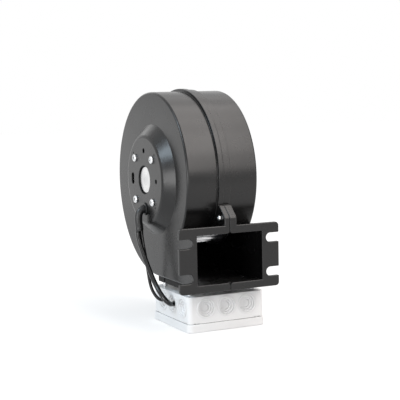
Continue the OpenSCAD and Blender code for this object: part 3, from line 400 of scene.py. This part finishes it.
corners = [(x * FLOOR_HALF, y * FLOOR_HALF, 0) for x, y in ((-1, -1), (1, -1), (1, 1), (-1, 1))]
floor_mesh = bpy.data.meshes.new("studio_floor")
floor_mesh.from_pydata(corners, [], [(0, 1, 2, 3)])
floor_mesh.materials.append(floor_paint)
floor = bpy.data.objects.new("studio_floor", floor_mesh)
floor.location.z = -FLOOR_DROP
bpy.context.scene.collection.objects.link(floor)

world = bpy.data.worlds.new("pale_room")
world.use_nodes = True
bpy.context.scene.world = world
tree = world.node_tree
sky = tree.nodes["Background"]
sky.inputs["Color"].default_value = (1, 1, 1, 1)
level_of_light = ramp(tree, seen_directly(tree), 0.0, 1.0, ROOM_LIGHT, ROOM_SEEN)
tree.links.new(level_of_light, sky.inputs["Strength"])
print("floor and world are set")

# %% [markdown]
# ## Pieces with eased edges
# A construction model has knife edges, and no moulded or pressed part has. These
# pieces could be modelled anew, but the main castings and mouldings are copies of
# their CAD nodes, so that every hole stays where it is. Loose triangles are
# merged, flat faces joined, and every sharp edge is marked with a weight for a
# Bevel modifier. The rule for the weights is each piece's own. A Weighted Normal
# modifier then keeps the large flat faces flat, because shading that runs on from
# the rounded edges would draw streaks over them.

# %% Copy a CAD node and ease its edges
MERGE_WITHIN, FLAT_WITHIN = 0.002 * MM, math.radians(0.5)
SHARP_FROM = math.radians(28)
SHARE_OF_ROOM = 0.42
EASE_STEPS = 3


def place_piece(name, mesh, body, material, stands_for=()):
    piece = bpy.data.objects.new(name, mesh)
    bpy.context.scene.collection.objects.link(piece)
    if not mesh.materials:
        mesh.materials.append(material)
    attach(piece, body)
    if stands_for:
        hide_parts(*stands_for)
    return piece


# how far a face reaches from the middle of an edge to the next sharp edge, or one
# metre where there is none
def room_beside(edge, face, sharp):
    start = (edge.verts[0].co + edge.verts[1].co) / 2
    along = (edge.verts[1].co - edge.verts[0].co).normalized()
    inward = face.normal.cross(along)
    loop = next(l for l in edge.link_loops if l.face == face)
    if loop.vert != edge.verts[0]:
        inward.negate()
    nearest = 1.0
    for other in face.edges:
        if other == edge or other not in sharp:
            continue
        a, b = other.verts[0].co - start, other.verts[1].co - start
        side_a, side_b = a.dot(along), b.dot(along)
        if side_a * side_b < 0:
            share = side_a / (side_a - side_b)
            reach = a.dot(inward) * (1 - share) + b.dot(inward) * share
            if reach > NO_LENGTH:
                nearest = min(nearest, reach)
    return nearest


def eased_copy(name, node, body, material, width, weigh=None):
    bm = bmesh.new()
    bm.from_mesh(nodes[node].data)
    bmesh.ops.remove_doubles(bm, verts=bm.verts, dist=MERGE_WITHIN)
    bmesh.ops.dissolve_limit(bm, angle_limit=FLAT_WITHIN, verts=bm.verts, edges=bm.edges)
    weights = bm.edges.layers.float.new("bevel_weight_edge")
    sharp = {e for e in bm.edges if e.calc_face_angle() > SHARP_FROM}
    for edge in sharp:
        middle = (edge.verts[0].co + edge.verts[1].co) / 2
        wanted = width * (weigh(middle) if weigh else 1.0)
        room = min(room_beside(edge, face, sharp) for face in edge.link_faces)
        edge[weights] = min(wanted, SHARE_OF_ROOM * room) / width if wanted else 0.0
    for face in bm.faces:
        face.smooth = True
    mesh = bpy.data.meshes.new(name)
    bm.to_mesh(mesh)
    bm.free()
    mesh.set_sharp_from_angle(angle=SHARP_FROM)
    mesh.materials.clear()
    piece = place_piece(name, mesh, body, material, (node,))
    bevel = piece.modifiers.new("eased_edges", "BEVEL")
    bevel.limit_method = "WEIGHT"
    bevel.width = width
    bevel.segments = EASE_STEPS
    bevel.use_clamp_overlap = False
    bevel.loop_slide = False
    even = piece.modifiers.new("even_normals", "WEIGHTED_NORMAL")
    even.mode = "FACE_AREA"
    even.weight = 100
    even.keep_sharp = True
    print(name, "sharp edges", len(sharp))


# %% [markdown]
# ## Scroll housing
# The housing is moulded in two halves that meet in the middle. Its long rim and
# the dome over the motor have generous radii, because a mould needs them, and
# holes and slots have small ones. The rim catches a thin line of light. One bevel
# width would swallow the small edges, so a rule looks at where an edge lies.

# %% Both halves of the housing
HALF_WIDTH, PLATE_X = 46.3 * MM, -58.4 * MM
RIM_FROM, PLATE_RIM_FROM = 88 * MM, 50 * MM
FLANGE_THICK = 5 * MM
FLANGE_BACK_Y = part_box("motor_side_housing")[0].y + FLANGE_THICK
ON_PLANE, BEHIND_FLANGE = 0.05 * MM, 0.5 * MM
RIM_EASE = 2.2 * MM
FLANGE_SHARE, SMALL_SHARE = 0.4, 0.2


def from_axis(point):
    return math.hypot(point.y - axis_at.y, point.z - axis_at.z)


def housing_weight(point):
    on_side = abs(abs(point.x) - HALF_WIDTH) < ON_PLANE and from_axis(point) > RIM_FROM
    if on_side and point.y > FLANGE_BACK_Y + BEHIND_FLANGE:
        return 1.0
    if abs(point.x - PLATE_X) < ON_PLANE and from_axis(point) > PLATE_RIM_FROM:
        return 1.0
    return FLANGE_SHARE if point.y < FLANGE_BACK_Y else SMALL_SHARE


for name, node in (("motor_half", "motor_side_housing"), ("inlet_half", "inlet_side_housing")):
    eased_copy(name, node, "housing", housing_plastic, RIM_EASE,
               housing_weight)

# %% [markdown]
# ## Turned parts
# Screw heads, rings and the membranes in the box are all round. A profile of a
# few points, radius first and then height, is spun into a closed mesh. Corners
# are eased in the profile itself, which is cheaper than a bevel on every copy.

# %% Spin a profile
ROUND_SHARP_FROM = math.radians(50)
WELD_WITHIN, SHARE_OF_SIDE = 0.001 * MM, 0.45


def in_mm(points):
    return [(r * MM, h * MM) for r, h in points]


# each corner is replaced by a short curve that starts and ends on its two sides
def eased_profile(points, ease, steps=3):
    out = []
    count = len(points)
    for i, (r, h) in enumerate(points):
        here = Vector((r, h))
        before = Vector(points[i - 1]) - here
        after = Vector(points[(i + 1) % count]) - here
        cut = min(ease, before.length * SHARE_OF_SIDE, after.length * SHARE_OF_SIDE)
        if r < NO_LENGTH or cut < NO_LENGTH:
            out.append((r, h))
            continue
        a = here + before.normalized() * cut
        b = here + after.normalized() * cut
        for k in range(steps + 1):
            t = k / steps
            p = a * (1 - t) ** 2 + here * 2 * t * (1 - t) + b * t ** 2
            out.append((p.x, p.y))
    return out


def outward_mesh(name, bm):
    bmesh.ops.recalc_face_normals(bm, faces=bm.faces)
    for face in bm.faces:
        face.smooth = True
    mesh = bpy.data.meshes.new(name)
    bm.to_mesh(mesh)
    bm.free()
    mesh.set_sharp_from_angle(angle=ROUND_SHARP_FROM)
    return mesh


def spun_mesh(name, profile, turns=48, closed=True):
    bm = bmesh.new()
    columns = []
    for k in range(turns):
        a = 2 * math.pi * k / turns
        columns.append([bm.verts.new((r * math.cos(a), r * math.sin(a), h))
                        for r, h in profile])
    last = len(profile) if closed else len(profile) - 1
    for k in range(turns):
        near, far = columns[k], columns[(k + 1) % turns]
        for i in range(last):
            j = (i + 1) % len(profile)
            bm.faces.new((near[i], near[j], far[j], far[i]))
    bmesh.ops.remove_doubles(bm, verts=bm.verts, dist=WELD_WITHIN)
    bmesh.ops.dissolve_degenerate(bm, edges=bm.edges, dist=WELD_WITHIN)
    return outward_mesh(name, bm)


# turns a mesh that was spun round Z, so that it lies round the spin axis
ON_AXIS = Matrix.Translation((0, axis_at.y, axis_at.z)) @ Matrix(
    ((0, 0, 1), (1, 0, 0), (0, 1, 0))).to_4x4()


# %% [markdown]
# ## Copies round a circle or at given places
# Fasteners, blades and membranes repeat, so Geometry Nodes places them. One tree
# stands copies evenly round the spin axis. The other stands a copy on each point
# of a small mesh, turned by that point's own attribute. Both end by realising the
# instances and setting the material, because the export keeps only real faces.

# %% Start and end of both trees
def start_copies(name, inputs):
    tree = bpy.data.node_groups.new(name, "GeometryNodeTree")
    tree.is_modifier = True
    for label, kind in inputs:
        tree.interface.new_socket(label, in_out="INPUT", socket_type="NodeSocket" + kind)
    tree.interface.new_socket("Geometry", in_out="OUTPUT", socket_type="NodeSocketGeometry")
    return tree, tree.nodes.new("NodeGroupInput"), tree.nodes.new("NodeGroupOutput")


def end_copies(tree, geometry, enter, leave):
    real = add(tree, "GeometryNodeRealizeInstances", Geometry=geometry)
    painted = add(tree, "GeometryNodeSetMaterial", Geometry=real.outputs[0],
                  Material=enter.outputs["Finish"])
    tree.links.new(painted.outputs[0], leave.inputs[0])


# %% Tree that stands copies round the spin axis
ring_tree, enter, leave = start_copies("copies_round_axis", [
    ("Part", "Object"), ("Count", "Int"), ("Radius", "Float"), ("Start", "Float"),
    ("Place", "Vector"), ("Finish", "Material")])
circle = add(ring_tree, "GeometryNodeMeshCircle", Vertices=enter.outputs["Count"],
             Radius=enter.outputs["Radius"])
index = ring_tree.nodes.new("GeometryNodeInputIndex")
step = math_node(ring_tree, "DIVIDE", 2 * math.pi, enter.outputs["Count"])
spin = math_node(ring_tree, "MULTIPLY", index.outputs[0], step)
spin_vector = add(ring_tree, "ShaderNodeCombineXYZ", Z=spin)
part = add(ring_tree, "GeometryNodeObjectInfo", Object=enter.outputs["Part"])
copies = add(ring_tree, "GeometryNodeInstanceOnPoints", Points=circle.outputs[0],
             Instance=part.outputs["Geometry"], Rotation=spin_vector.outputs[0])
first_turn = add(ring_tree, "ShaderNodeCombineXYZ", Z=enter.outputs["Start"])
started = add(ring_tree, "GeometryNodeTransform", Geometry=copies.outputs[0],
              Rotation=first_turn.outputs[0])
stood = add(ring_tree, "GeometryNodeTransform", Geometry=started.outputs[0],
            Rotation=(math.pi / 2, 0, math.pi / 2), Translation=enter.outputs["Place"])
end_copies(ring_tree, stood.outputs[0], enter, leave)

# %% Tree that stands copies on points
point_tree, enter, leave = start_copies("copies_on_points", [
    ("Geometry", "Geometry"), ("Part", "Object"), ("Lean", "Vector"), ("Finish", "Material")])
part = add(point_tree, "GeometryNodeObjectInfo", Object=enter.outputs["Part"])
turn_of = add(point_tree, "GeometryNodeInputNamedAttribute", {"data_type": "FLOAT"},
              Name="turn")
turn_vector = add(point_tree, "ShaderNodeCombineXYZ", Z=turn_of.outputs[0])
stance = add(point_tree, "FunctionNodeRotateRotation", {"rotation_space": "GLOBAL"},
             Rotation=enter.outputs["Lean"], Rotate_By=turn_vector.outputs[0])
copies = add(point_tree, "GeometryNodeInstanceOnPoints", Points=enter.outputs["Geometry"],
             Instance=part.outputs["Geometry"], Rotation=stance.outputs[0])
end_copies(point_tree, copies.outputs[0], enter, leave)


# %% Bake a tree into one plain mesh
def baked(name, tree, points=(), turns=(), **values):
    seed_mesh = bpy.data.meshes.new(name + "_seed")
    seed_mesh.from_pydata([tuple(p) for p in points], [], [])
    if points:
        attribute = seed_mesh.attributes.new("turn", "FLOAT", "POINT")
        attribute.data.foreach_set("value", list(turns) or [0.0] * len(points))
    seed = bpy.data.objects.new(name + "_seed", seed_mesh)
    modifier = seed.modifiers.new("copies", "NODES")
    modifier.node_group = tree
    sockets = {s.name: s.identifier for s in tree.interface.items_tree
               if s.in_out == "INPUT"}
    for key, value in values.items():
        modifier[sockets[key]] = value
    bpy.context.scene.collection.objects.link(seed)
    graph = bpy.context.evaluated_depsgraph_get()
    mesh = bpy.data.meshes.new_from_object(seed.evaluated_get(graph))
    mesh.name = name
    bpy.data.objects.remove(seed)
    bpy.data.objects.remove(values["Part"])
    print(name, "faces", len(mesh.polygons))
    return mesh


def pattern_part(name, mesh):
    part_object = bpy.data.objects.new(name + "_pattern", mesh)
    bpy.context.scene.collection.objects.link(part_object)
    return part_object


# %% [markdown]
# ## Screws and rivets
# A pan head is a low dome with a hexagon recess, on a plain shank. A Boolean could
# cut the recess, but it leaves ragged faces. Here it is a round well in the
# profile, and its six walls come from moving the well's points onto a hexagon.

# %% One pattern for all socket screws
SOCKET_GROW, ON_WELL = 1.08, 0.02 * MM


def screw_mesh(name, head_r, head_h, shank_r, shank_l, socket_r, socket_d):
    profile = [
        (0, head_h - socket_d), (socket_r, head_h - socket_d), (socket_r, head_h - 0.05 * MM),
        (socket_r + 0.25 * MM, head_h), (head_r * 0.72, head_h - 0.02 * MM),
        (head_r * 0.92, head_h * 0.82), (head_r, head_h * 0.5), (head_r, 0.15 * MM),
        (head_r - 0.15 * MM, 0), (shank_r, 0), (shank_r, -shank_l + 0.3 * MM),
        (shank_r - 0.3 * MM, -shank_l), (0, -shank_l)
    ]
    mesh = spun_mesh(name, profile, turns=30, closed=False)
    for vertex in mesh.vertices:
        r = math.hypot(vertex.co.x, vertex.co.y)
        if vertex.co.z > head_h - socket_d - ON_WELL and abs(r - socket_r) < ON_WELL:
            a = math.atan2(vertex.co.y, vertex.co.x)
            within = (a + math.pi / 6) % (math.pi / 3) - math.pi / 6
            grow = math.cos(math.pi / 6) / math.cos(within) * SOCKET_GROW
            vertex.co.x *= grow
            vertex.co.y *= grow
    return mesh


# %% Screws of the motor plate
MOTOR_SCREWS, MOTOR_SCREW_OFFSET = 4, 26.05
head = pattern_part("motor_screw", screw_mesh(
    "motor_screw", head_r=4.75 * MM, head_h=3 * MM, shank_r=2.45 * MM, shank_l=8.4 * MM,
    socket_r=2.1 * MM, socket_d=1.8 * MM))
# the pattern's head points away from the motor, so the copies are turned over
head.data.transform(Matrix.Rotation(math.pi, 4, "X"))
mesh = baked("motor_screws", ring_tree, Part=head, Count=MOTOR_SCREWS,
             Radius=math.hypot(MOTOR_SCREW_OFFSET, MOTOR_SCREW_OFFSET) * MM,
             Start=math.pi / 4, Place=(PLATE_X, axis_at.y, axis_at.z), Finish=zinc)
place_piece("motor_screws", mesh, "housing", zinc, ("motor_mount_screws",))

# %% Screws of the seam
# One screw holds the lug over the outlet. Three hold ears on the scroll: each has
# its angle, and the middle and radius of the scroll's arc there, in millimetres
# from the spin axis.
LUG_SCREW = (0, -67.6, 137.6)
EAR_ARCS = ((45, (3.6, -2.6), 110.4), (0, (3.6, -2.6), 110.4), (-52, (-3.6, -2.6), 117.6))
EAR_REACH, SEAM_HEAD_X = 4.4, -6.5


def scroll_reach(angle, centre, radius):
    along = centre[0] * math.cos(angle) + centre[1] * math.sin(angle)
    return along + math.sqrt(along ** 2 + radius ** 2 - centre[0] ** 2 - centre[1] ** 2)


seam_points = [Vector([v * MM for v in LUG_SCREW])]
for degrees, centre, radius in EAR_ARCS:
    a = math.radians(degrees)
    reach = (scroll_reach(a, centre, radius) + EAR_REACH) * MM
    seam_points.append(Vector((0, axis_at.y + reach * math.cos(a),
                               axis_at.z + reach * math.sin(a))))
head = pattern_part("seam_screw", screw_mesh(
    "seam_screw", head_r=3.6 * MM, head_h=2.8 * MM, shank_r=1.98 * MM, shank_l=19.5 * MM,
    socket_r=1.6 * MM, socket_d=1.6 * MM))
mesh = baked("seam_screw_set", point_tree,
             points=[p + Vector((SEAM_HEAD_X * MM, 0, 0)) for p in seam_points],
             Part=head, Lean=(0, -math.pi / 2, 0), Finish=zinc)
place_piece("seam_screw_set", mesh, "housing", zinc, ("seam_screws",))
print("seam screws at", [[round(v / MM, 1) for v in p] for p in seam_points])

# %% Rivets between rotor and impeller
RIVETS, RIVET_CIRCLE, RIVET_X = 6, 51 * MM, -41 * MM
rivet_profile = in_mm([
    (0, -1), (1.6, -1), (2.5, -0.6), (2.8, 0), (1.55, 0), (1.55, 3), (2.8, 3), (2.5, 3.6),
    (1.6, 4), (0, 4)])
rivet = pattern_part("rivet", spun_mesh("rivet", rivet_profile, turns=20, closed=False))
mesh = baked("rotor_rivets", ring_tree, Part=rivet, Count=RIVETS, Radius=RIVET_CIRCLE,
             Start=0.0, Place=(RIVET_X, axis_at.y, axis_at.z), Finish=zinc)
place_piece("rotor_rivets", mesh, "rotor", zinc, ("impeller_rivets",))

# %% [markdown]
# ## Impeller
# Forty-two forward-curved blades of thin sheet stand between a back plate and an
# end ring. Solidify on a curved strip would do for a blade, but its edges would be
# square. Here one blade is an arc with thickness and thin ends, and the tree
# repeats it. The blades are what shines in the upper corner of the outlet.

# %% One blade, repeated round the axis
BLADE_COUNT, BLADE_STEPS, END_SHARE = 42, 8, 0.55
BLADE_TIP, BLADE_ROOT, BLADE_THICK = 84 * MM, 70.5 * MM, 0.9 * MM
BLADE_FROM, BLADE_TO = -38 * MM, 28 * MM
ARC_R = 0.7 * (BLADE_TIP - BLADE_ROOT)
ARC_CENTRE = (BLADE_TIP + BLADE_ROOT) / 2 + 0.8 * MM


def blade_angle(radius):
    return math.acos((radius ** 2 - ARC_CENTRE ** 2 - ARC_R ** 2) / (2 * ARC_CENTRE * ARC_R))


def blade_mesh():
    bm = bmesh.new()
    first, last = blade_angle(BLADE_TIP - MM), blade_angle(BLADE_ROOT + MM)
    rows = []
    for z in (0, BLADE_TO - BLADE_FROM):
        outer, inner = [], []
        for k in range(BLADE_STEPS + 1):
            a = first + (last - first) * k / BLADE_STEPS
            half = BLADE_THICK / 2 * (END_SHARE if k in (0, BLADE_STEPS) else 1)
            for row, r in ((outer, ARC_R + half), (inner, ARC_R - half)):
                row.append(bm.verts.new((ARC_CENTRE + r * math.cos(a), r * math.sin(a), z)))
        rows.append(outer + inner[::-1])
    low, high = rows
    count = len(low)
    for i in range(count):
        j = (i + 1) % count
        bm.faces.new((low[i], low[j], high[j], high[i]))
    bm.faces.new(low)
    bm.faces.new(high)
    return outward_mesh("blade", bm)


# the blades take the darkened sheet, which is painted shade inside the housing
mesh = baked("blade_drum", ring_tree, Part=pattern_part("blade", blade_mesh()),
             Count=BLADE_COUNT, Radius=0.0, Start=0.0,
             Place=(BLADE_FROM, axis_at.y, axis_at.z), Finish=blade_sheet_painted_shade)
place_piece("blade_drum", mesh, "rotor", blade_sheet_painted_shade, ("impeller_blades",))

# %% End ring and back plate
ROUND_TURNS = 120
ring_profile = in_mm([(68, 28), (86, 28), (86, 32), (84.6, 32), (84.6, 29.4), (69.4, 29.4),
                      (69.4, 31), (68, 31)])
plate_profile = in_mm([(46.2, -39.5), (84, -39.5), (84, -38), (46.2, -38)])
# end ring and back plate take the same darkened sheet, painted shade inside the housing
for name, profile, ease, node in (
        ("end_ring", ring_profile, 0.6 * MM, "impeller_end_ring"),
        ("back_plate", plate_profile, 0.4 * MM, "impeller_backplate")):
    mesh = spun_mesh(name, eased_profile(profile, ease), turns=ROUND_TURNS)
    mesh.transform(ON_AXIS)
    place_piece(name, mesh, "rotor", blade_sheet_painted_shade, (node,))

# %% [markdown]
# ## Castings and pressings
# Through the round window in the plate the cast stator flange shows its turned
# boss. Lathe marks run round the spin axis, so its bright disc has a fine sparkle.
# The inlet nozzle is rolled sheet, the bracket a bent and coated plate, and the
# grommet a rubber ring. The bracket's near-black, low-sheen coat is partly painted
# shade for the dark gap under the scroll. All four keep their CAD shape and only
# ease their edges.

# %% Stator flange, nozzle, bracket and grommet
eased_copy("stator_plate", "stator_flange", "housing", turned_alu, 0.4 * MM)
eased_copy("inlet_bell", "inlet_nozzle", "housing", sheet, 0.3 * MM)
# the bracket's near-black coat is partly painted shade under the scroll
eased_copy("box_cradle", "box_bracket", "housing", bracket_coat_painted_shade, 0.25 * MM)
eased_copy("plate_grommet", "cable_grommet", "housing", sleeve_rubber, 0.4 * MM)

# %% [markdown]
# ## Junction box
# The box is light grey plastic with a lid below. Only its outer edges are eased,
# as on a thin-walled moulding: the ones round the top fully, those by the lid
# less, so that the joint between box and lid stays a crisp line. A bevel on every
# edge would also round the ribs inside, where nobody sees it.

# %% Box and lid
BOX_SHIFT, BOX_HALF, LID_HALF = 9 * MM, 51 * MM, 52.5 * MM
BOX_CORNER, LID_CORNER, ON_CORNER = 6 * MM, 7.5 * MM, 0.2 * MM
BOX_LOW_EDGE, BOX_HIGH_EDGE = 13 * MM, 42 * MM
BOX_EASE, LID_EASE, LOW_SHARE = 0.9 * MM, 0.8 * MM, 0.3


def is_outer(point, half, corner):
    over_x = max(abs(point.x - BOX_SHIFT) - half + corner, 0)
    over_y = max(abs(point.y) - half + corner, 0)
    return math.hypot(over_x, over_y) > corner - ON_CORNER


def body_weight(point):
    if not is_outer(point, BOX_HALF, BOX_CORNER) or BOX_LOW_EDGE < point.z < BOX_HIGH_EDGE:
        return 0.0
    return 1.0 if point.z > BOX_HIGH_EDGE else LOW_SHARE


def lid_weight(point):
    return 1.0 if is_outer(point, LID_HALF, LID_CORNER) else 0.0


eased_copy("box_body", "junction_box_base", "housing", box_plastic,
           BOX_EASE, body_weight)
eased_copy("box_lid", "junction_box_lid", "housing", box_plastic,
           LID_EASE, lid_weight)

# %% [markdown]
# ## Stepped membranes
# Each side of the box has three entries, closed by soft stepped membranes. The
# fitter cuts the step that suits a cable. Each is a spun profile, and the tree
# sets it into the twelve entries. A step of white rubber hardly shows in soft
# light, so a narrow groove at the foot of each step draws it as a thin ring. Two
# entries take the fan's own cables, and their membranes have a hole.

# %% Membranes and seals
ENTRY_Z, ENTRY_PITCH, SIDE_SHIFT = 28.4 * MM, 27.6 * MM, 5 * MM
MEMBRANE_EASE = 0.15 * MM
MEMBRANE_FACE = [
    (12.6, 0), (12.6, 0.8), (10.2, 0.8), (10.0, -1.4), (9.3, -1.4), (9.3, -0.6), (7.6, -0.6),
    (7.4, -3.0), (6.7, -3.0), (6.7, -2.2), (5.0, -2.2), (4.8, -4.4), (4.2, -4.4), (4.2, -3.8)]
MEMBRANE_BACK = [(5.6, -5), (6.2, -3.6), (8.6, -3.6), (8.6, -2.2), (11.55, -2.2), (11.55, 0)]
ENTRY_USE = {(270, 0): "motor", (270, -1): "control"}


def membrane_mesh(name, hole):
    profile = in_mm(MEMBRANE_FACE + [(hole, -3.8), (hole, -5)] + MEMBRANE_BACK)
    return spun_mesh(name, eased_profile(profile, MEMBRANE_EASE, 2), turns=40,
                     closed=bool(hole))


def entry_places(use):
    places, turns = [], []
    for degrees, shift in ((0, 0), (90, -SIDE_SHIFT), (180, 0), (270, SIDE_SHIFT)):
        for k in (-1, 0, 1):
            if ENTRY_USE.get((degrees, k), "plain") == use:
                a = math.radians(degrees)
                spot = Vector((shift + k * ENTRY_PITCH, -BOX_HALF, 0))
                spot = Matrix.Rotation(a, 3, "Z") @ spot
                places.append(spot + Vector((BOX_SHIFT, 0, ENTRY_Z)))
                turns.append(a)
    return places, turns


for name, use, hole, stands_for in (
        ("membranes", "plain", 0, ("entry_membranes",)),
        ("seal_motor", "motor", 3.5, ("cable_entry_seals",)),
        ("seal_control", "control", 2.5, ())):
    places, turns = entry_places(use)
    mesh = baked(name, point_tree, points=places, turns=turns,
                 Part=pattern_part("membrane", membrane_mesh("membrane", hole)),
                 Lean=(math.pi / 2, 0, 0), Finish=membrane_rubber)
    place_piece(name, mesh, "housing", membrane_rubber, stands_for)

# %% [markdown]
# ## Cables
# A soft sleeve leaves the motor plate and turns down. Two jacketed cables leave
# its end and bow over to the box. A curve object with a round bevel would give
# tubes too, but their ends would stay open. Here each follows a smooth line
# through given points, and a ring of points is carried along it without
# twisting.

# %% Sweep a round tube along a smooth line
def smooth_line(points, per_span=6):
    ends = [points[0] * 2 - points[1]] + points + [points[-1] * 2 - points[-2]]
    line = []
    for i in range(1, len(ends) - 2):
        p0, p1, p2, p3 = ends[i - 1:i + 3]
        for k in range(per_span):
            t = k / per_span
            line.append(0.5 * (2 * p1 + (p2 - p0) * t + (2 * p0 - 5 * p1 + 4 * p2 - p3) * t ** 2
                               + (3 * p1 - p0 - 3 * p2 + p3) * t ** 3))
    return line + [points[-1]]


def tube_mesh(name, line, radius_at, sides=20):
    bm = bmesh.new()
    loops = []
    side = Vector((0, 1, 0))
    run = 0.0
    for i, here in enumerate(line):
        ahead = (line[min(i + 1, len(line) - 1)] - line[max(i - 1, 0)]).normalized()
        side = (side - ahead * side.dot(ahead)).normalized()
        other = ahead.cross(side)
        run += (here - line[i - 1]).length if i else 0.0
        angles = [2 * math.pi * k / sides for k in range(sides)]
        spokes = [math.cos(a) * side + math.sin(a) * other for a in angles]
        loops.append([bm.verts.new(here + radius_at(run) * spoke) for spoke in spokes])
    for near, far in zip(loops, loops[1:]):
        for k in range(sides):
            bm.faces.new((near[k], near[(k + 1) % sides], far[(k + 1) % sides], far[k]))
    bm.faces.new(loops[0])
    bm.faces.new(loops[-1])
    print(name, "runs", round(run / MM, 1), "mm")
    return outward_mesh(name, bm)


# %% Sleeve and both cables
# the sleeve's points count from the hole in the motor plate, and the cables' from
# the frame's origin
HOLE = Vector((0, axis_at.y, axis_at.z - 36 * MM))
SLEEVE_R, CUFF_GROW, CUFF_AT, CUFF_HALF = 4.85 * MM, 0.25 * MM, 41.2 * MM, 1.6 * MM
SLEEVE_POINTS = [
    (-47.05, 0, 0), (-53, 0, 0), (-59.9, 0, 0), (-63.4, 0.1, -1.4), (-66, 0.2, -4.6),
    (-67.2, 0.3, -9.6), (-67.2, 0.2, -15.6), (-66.6, 0, -20.6), (-66.5, 0, -22.6),
    (-66.5, 0, -26.6)]
MOTOR_CABLE_POINTS = [
    (-68.5, 35.3, 116), (-68.5, 35.3, 112.4), (-68.4, 33.6, 107), (-67.5, 29.8, 98),
    (-66.2, 24.6, 88), (-64.8, 19, 78), (-63.4, 13.6, 69), (-62, 7.6, 60), (-60.6, 0.6, 51.6),
    (-59.2, -6.6, 44.6), (-57, -12.6, 38.6), (-53.6, -15.4, 33.8), (-49, -13.2, 30.4),
    (-44.6, -8.2, 28.8), (-40, -5.2, 28.4), (-33, -5, 28.6), (-26, -5, 30.2), (-21, -5, 31),
    (-16.2, -5, 31)]
CONTROL_CABLE_POINTS = [
    (-63.45, 35.3, 116), (-63.45, 35.3, 112.4), (-63.2, 35, 108), (-62.4, 34, 99),
    (-61.2, 32.6, 89), (-60, 31.6, 79), (-58.8, 31.2, 70), (-57.6, 31, 61), (-56.4, 30.4, 52),
    (-54.8, 28.8, 43.6), (-52.2, 26.2, 36.4), (-48.8, 24, 31.4), (-45, 22.8, 28.9),
    (-41, 22.6, 28.4), (-36, 22.6, 28.4), (-31, 19.2, 28.8), (-27, 13, 29.6), (-24, 8, 30.4),
    (-21, 5.4, 30.9), (-18.6, 5, 31), (-16.2, 5, 31)]


def sleeve_radius(run):
    cuff = max(0.0, 1 - abs(run - CUFF_AT) / CUFF_HALF)
    return SLEEVE_R + CUFF_GROW * min(1.0, 2 * cuff)


line = smooth_line([HOLE + Vector(p) * MM for p in SLEEVE_POINTS], 8)
mesh = tube_mesh("sleeve", line, sleeve_radius, 28)
place_piece("sleeve", mesh, "housing", sleeve_rubber, ("cable_sleeve",))
for name, points, radius, node in (
        ("motor_lead", MOTOR_CABLE_POINTS, 3 * MM, "motor_cable"),
        ("control_lead", CONTROL_CABLE_POINTS, 2 * MM, "control_cable")):
    line = smooth_line([Vector(p) * MM for p in points])
    mesh = tube_mesh(name, line, lambda run, r=radius: r)
    place_piece(name, mesh, "housing", cable_jacket, (node,))

# %% [markdown]
# ## Finishes on the CAD nodes that stay
# The parts inside the motor and the small fasteners keep their CAD shape, since
# they are hidden or small, and a copy of each would add nothing. Each gets its
# finish through its own material slot.

# %% Finish the nodes that stay
staying = {
    zinc: ["seam_nuts", "nozzle_screws", "box_standoffs", "box_screws", "bracket_screws",
           "terminal_screws"],
    sheet: ["rotor_can"],
    turned_alu: ["bearing_spacer"],
    core_steel: ["stator_core"],
    winding_copper: ["stator_windings"],
    board_mask: ["motor_circuit_board"],
    ground_steel: ["bearing_outer_races", "bearing_inner_races", "bearing_balls", "wave_washer",
                   "shaft_circlip", "motor_shaft"],
    cage_brass: ["bearing_cages"],
    magnet_ferrite: ["rotor_magnets"],
    box_plastic: ["lid_screws"],
    block_plastic: ["terminal_block"],
    gasket_foam: ["junction_box_gasket"],
}
for material, names in staying.items():
    for node in names:
        if not nodes[node].material_slots:
            nodes[node].data.materials.append(material)
        nodes[node].material_slots[0].material = material
finished = sum(staying.values(), [])
left_plain = [n for n, o in nodes.items() if not o.hide_render and n not in finished]
print("nodes still without a finish:", left_plain)
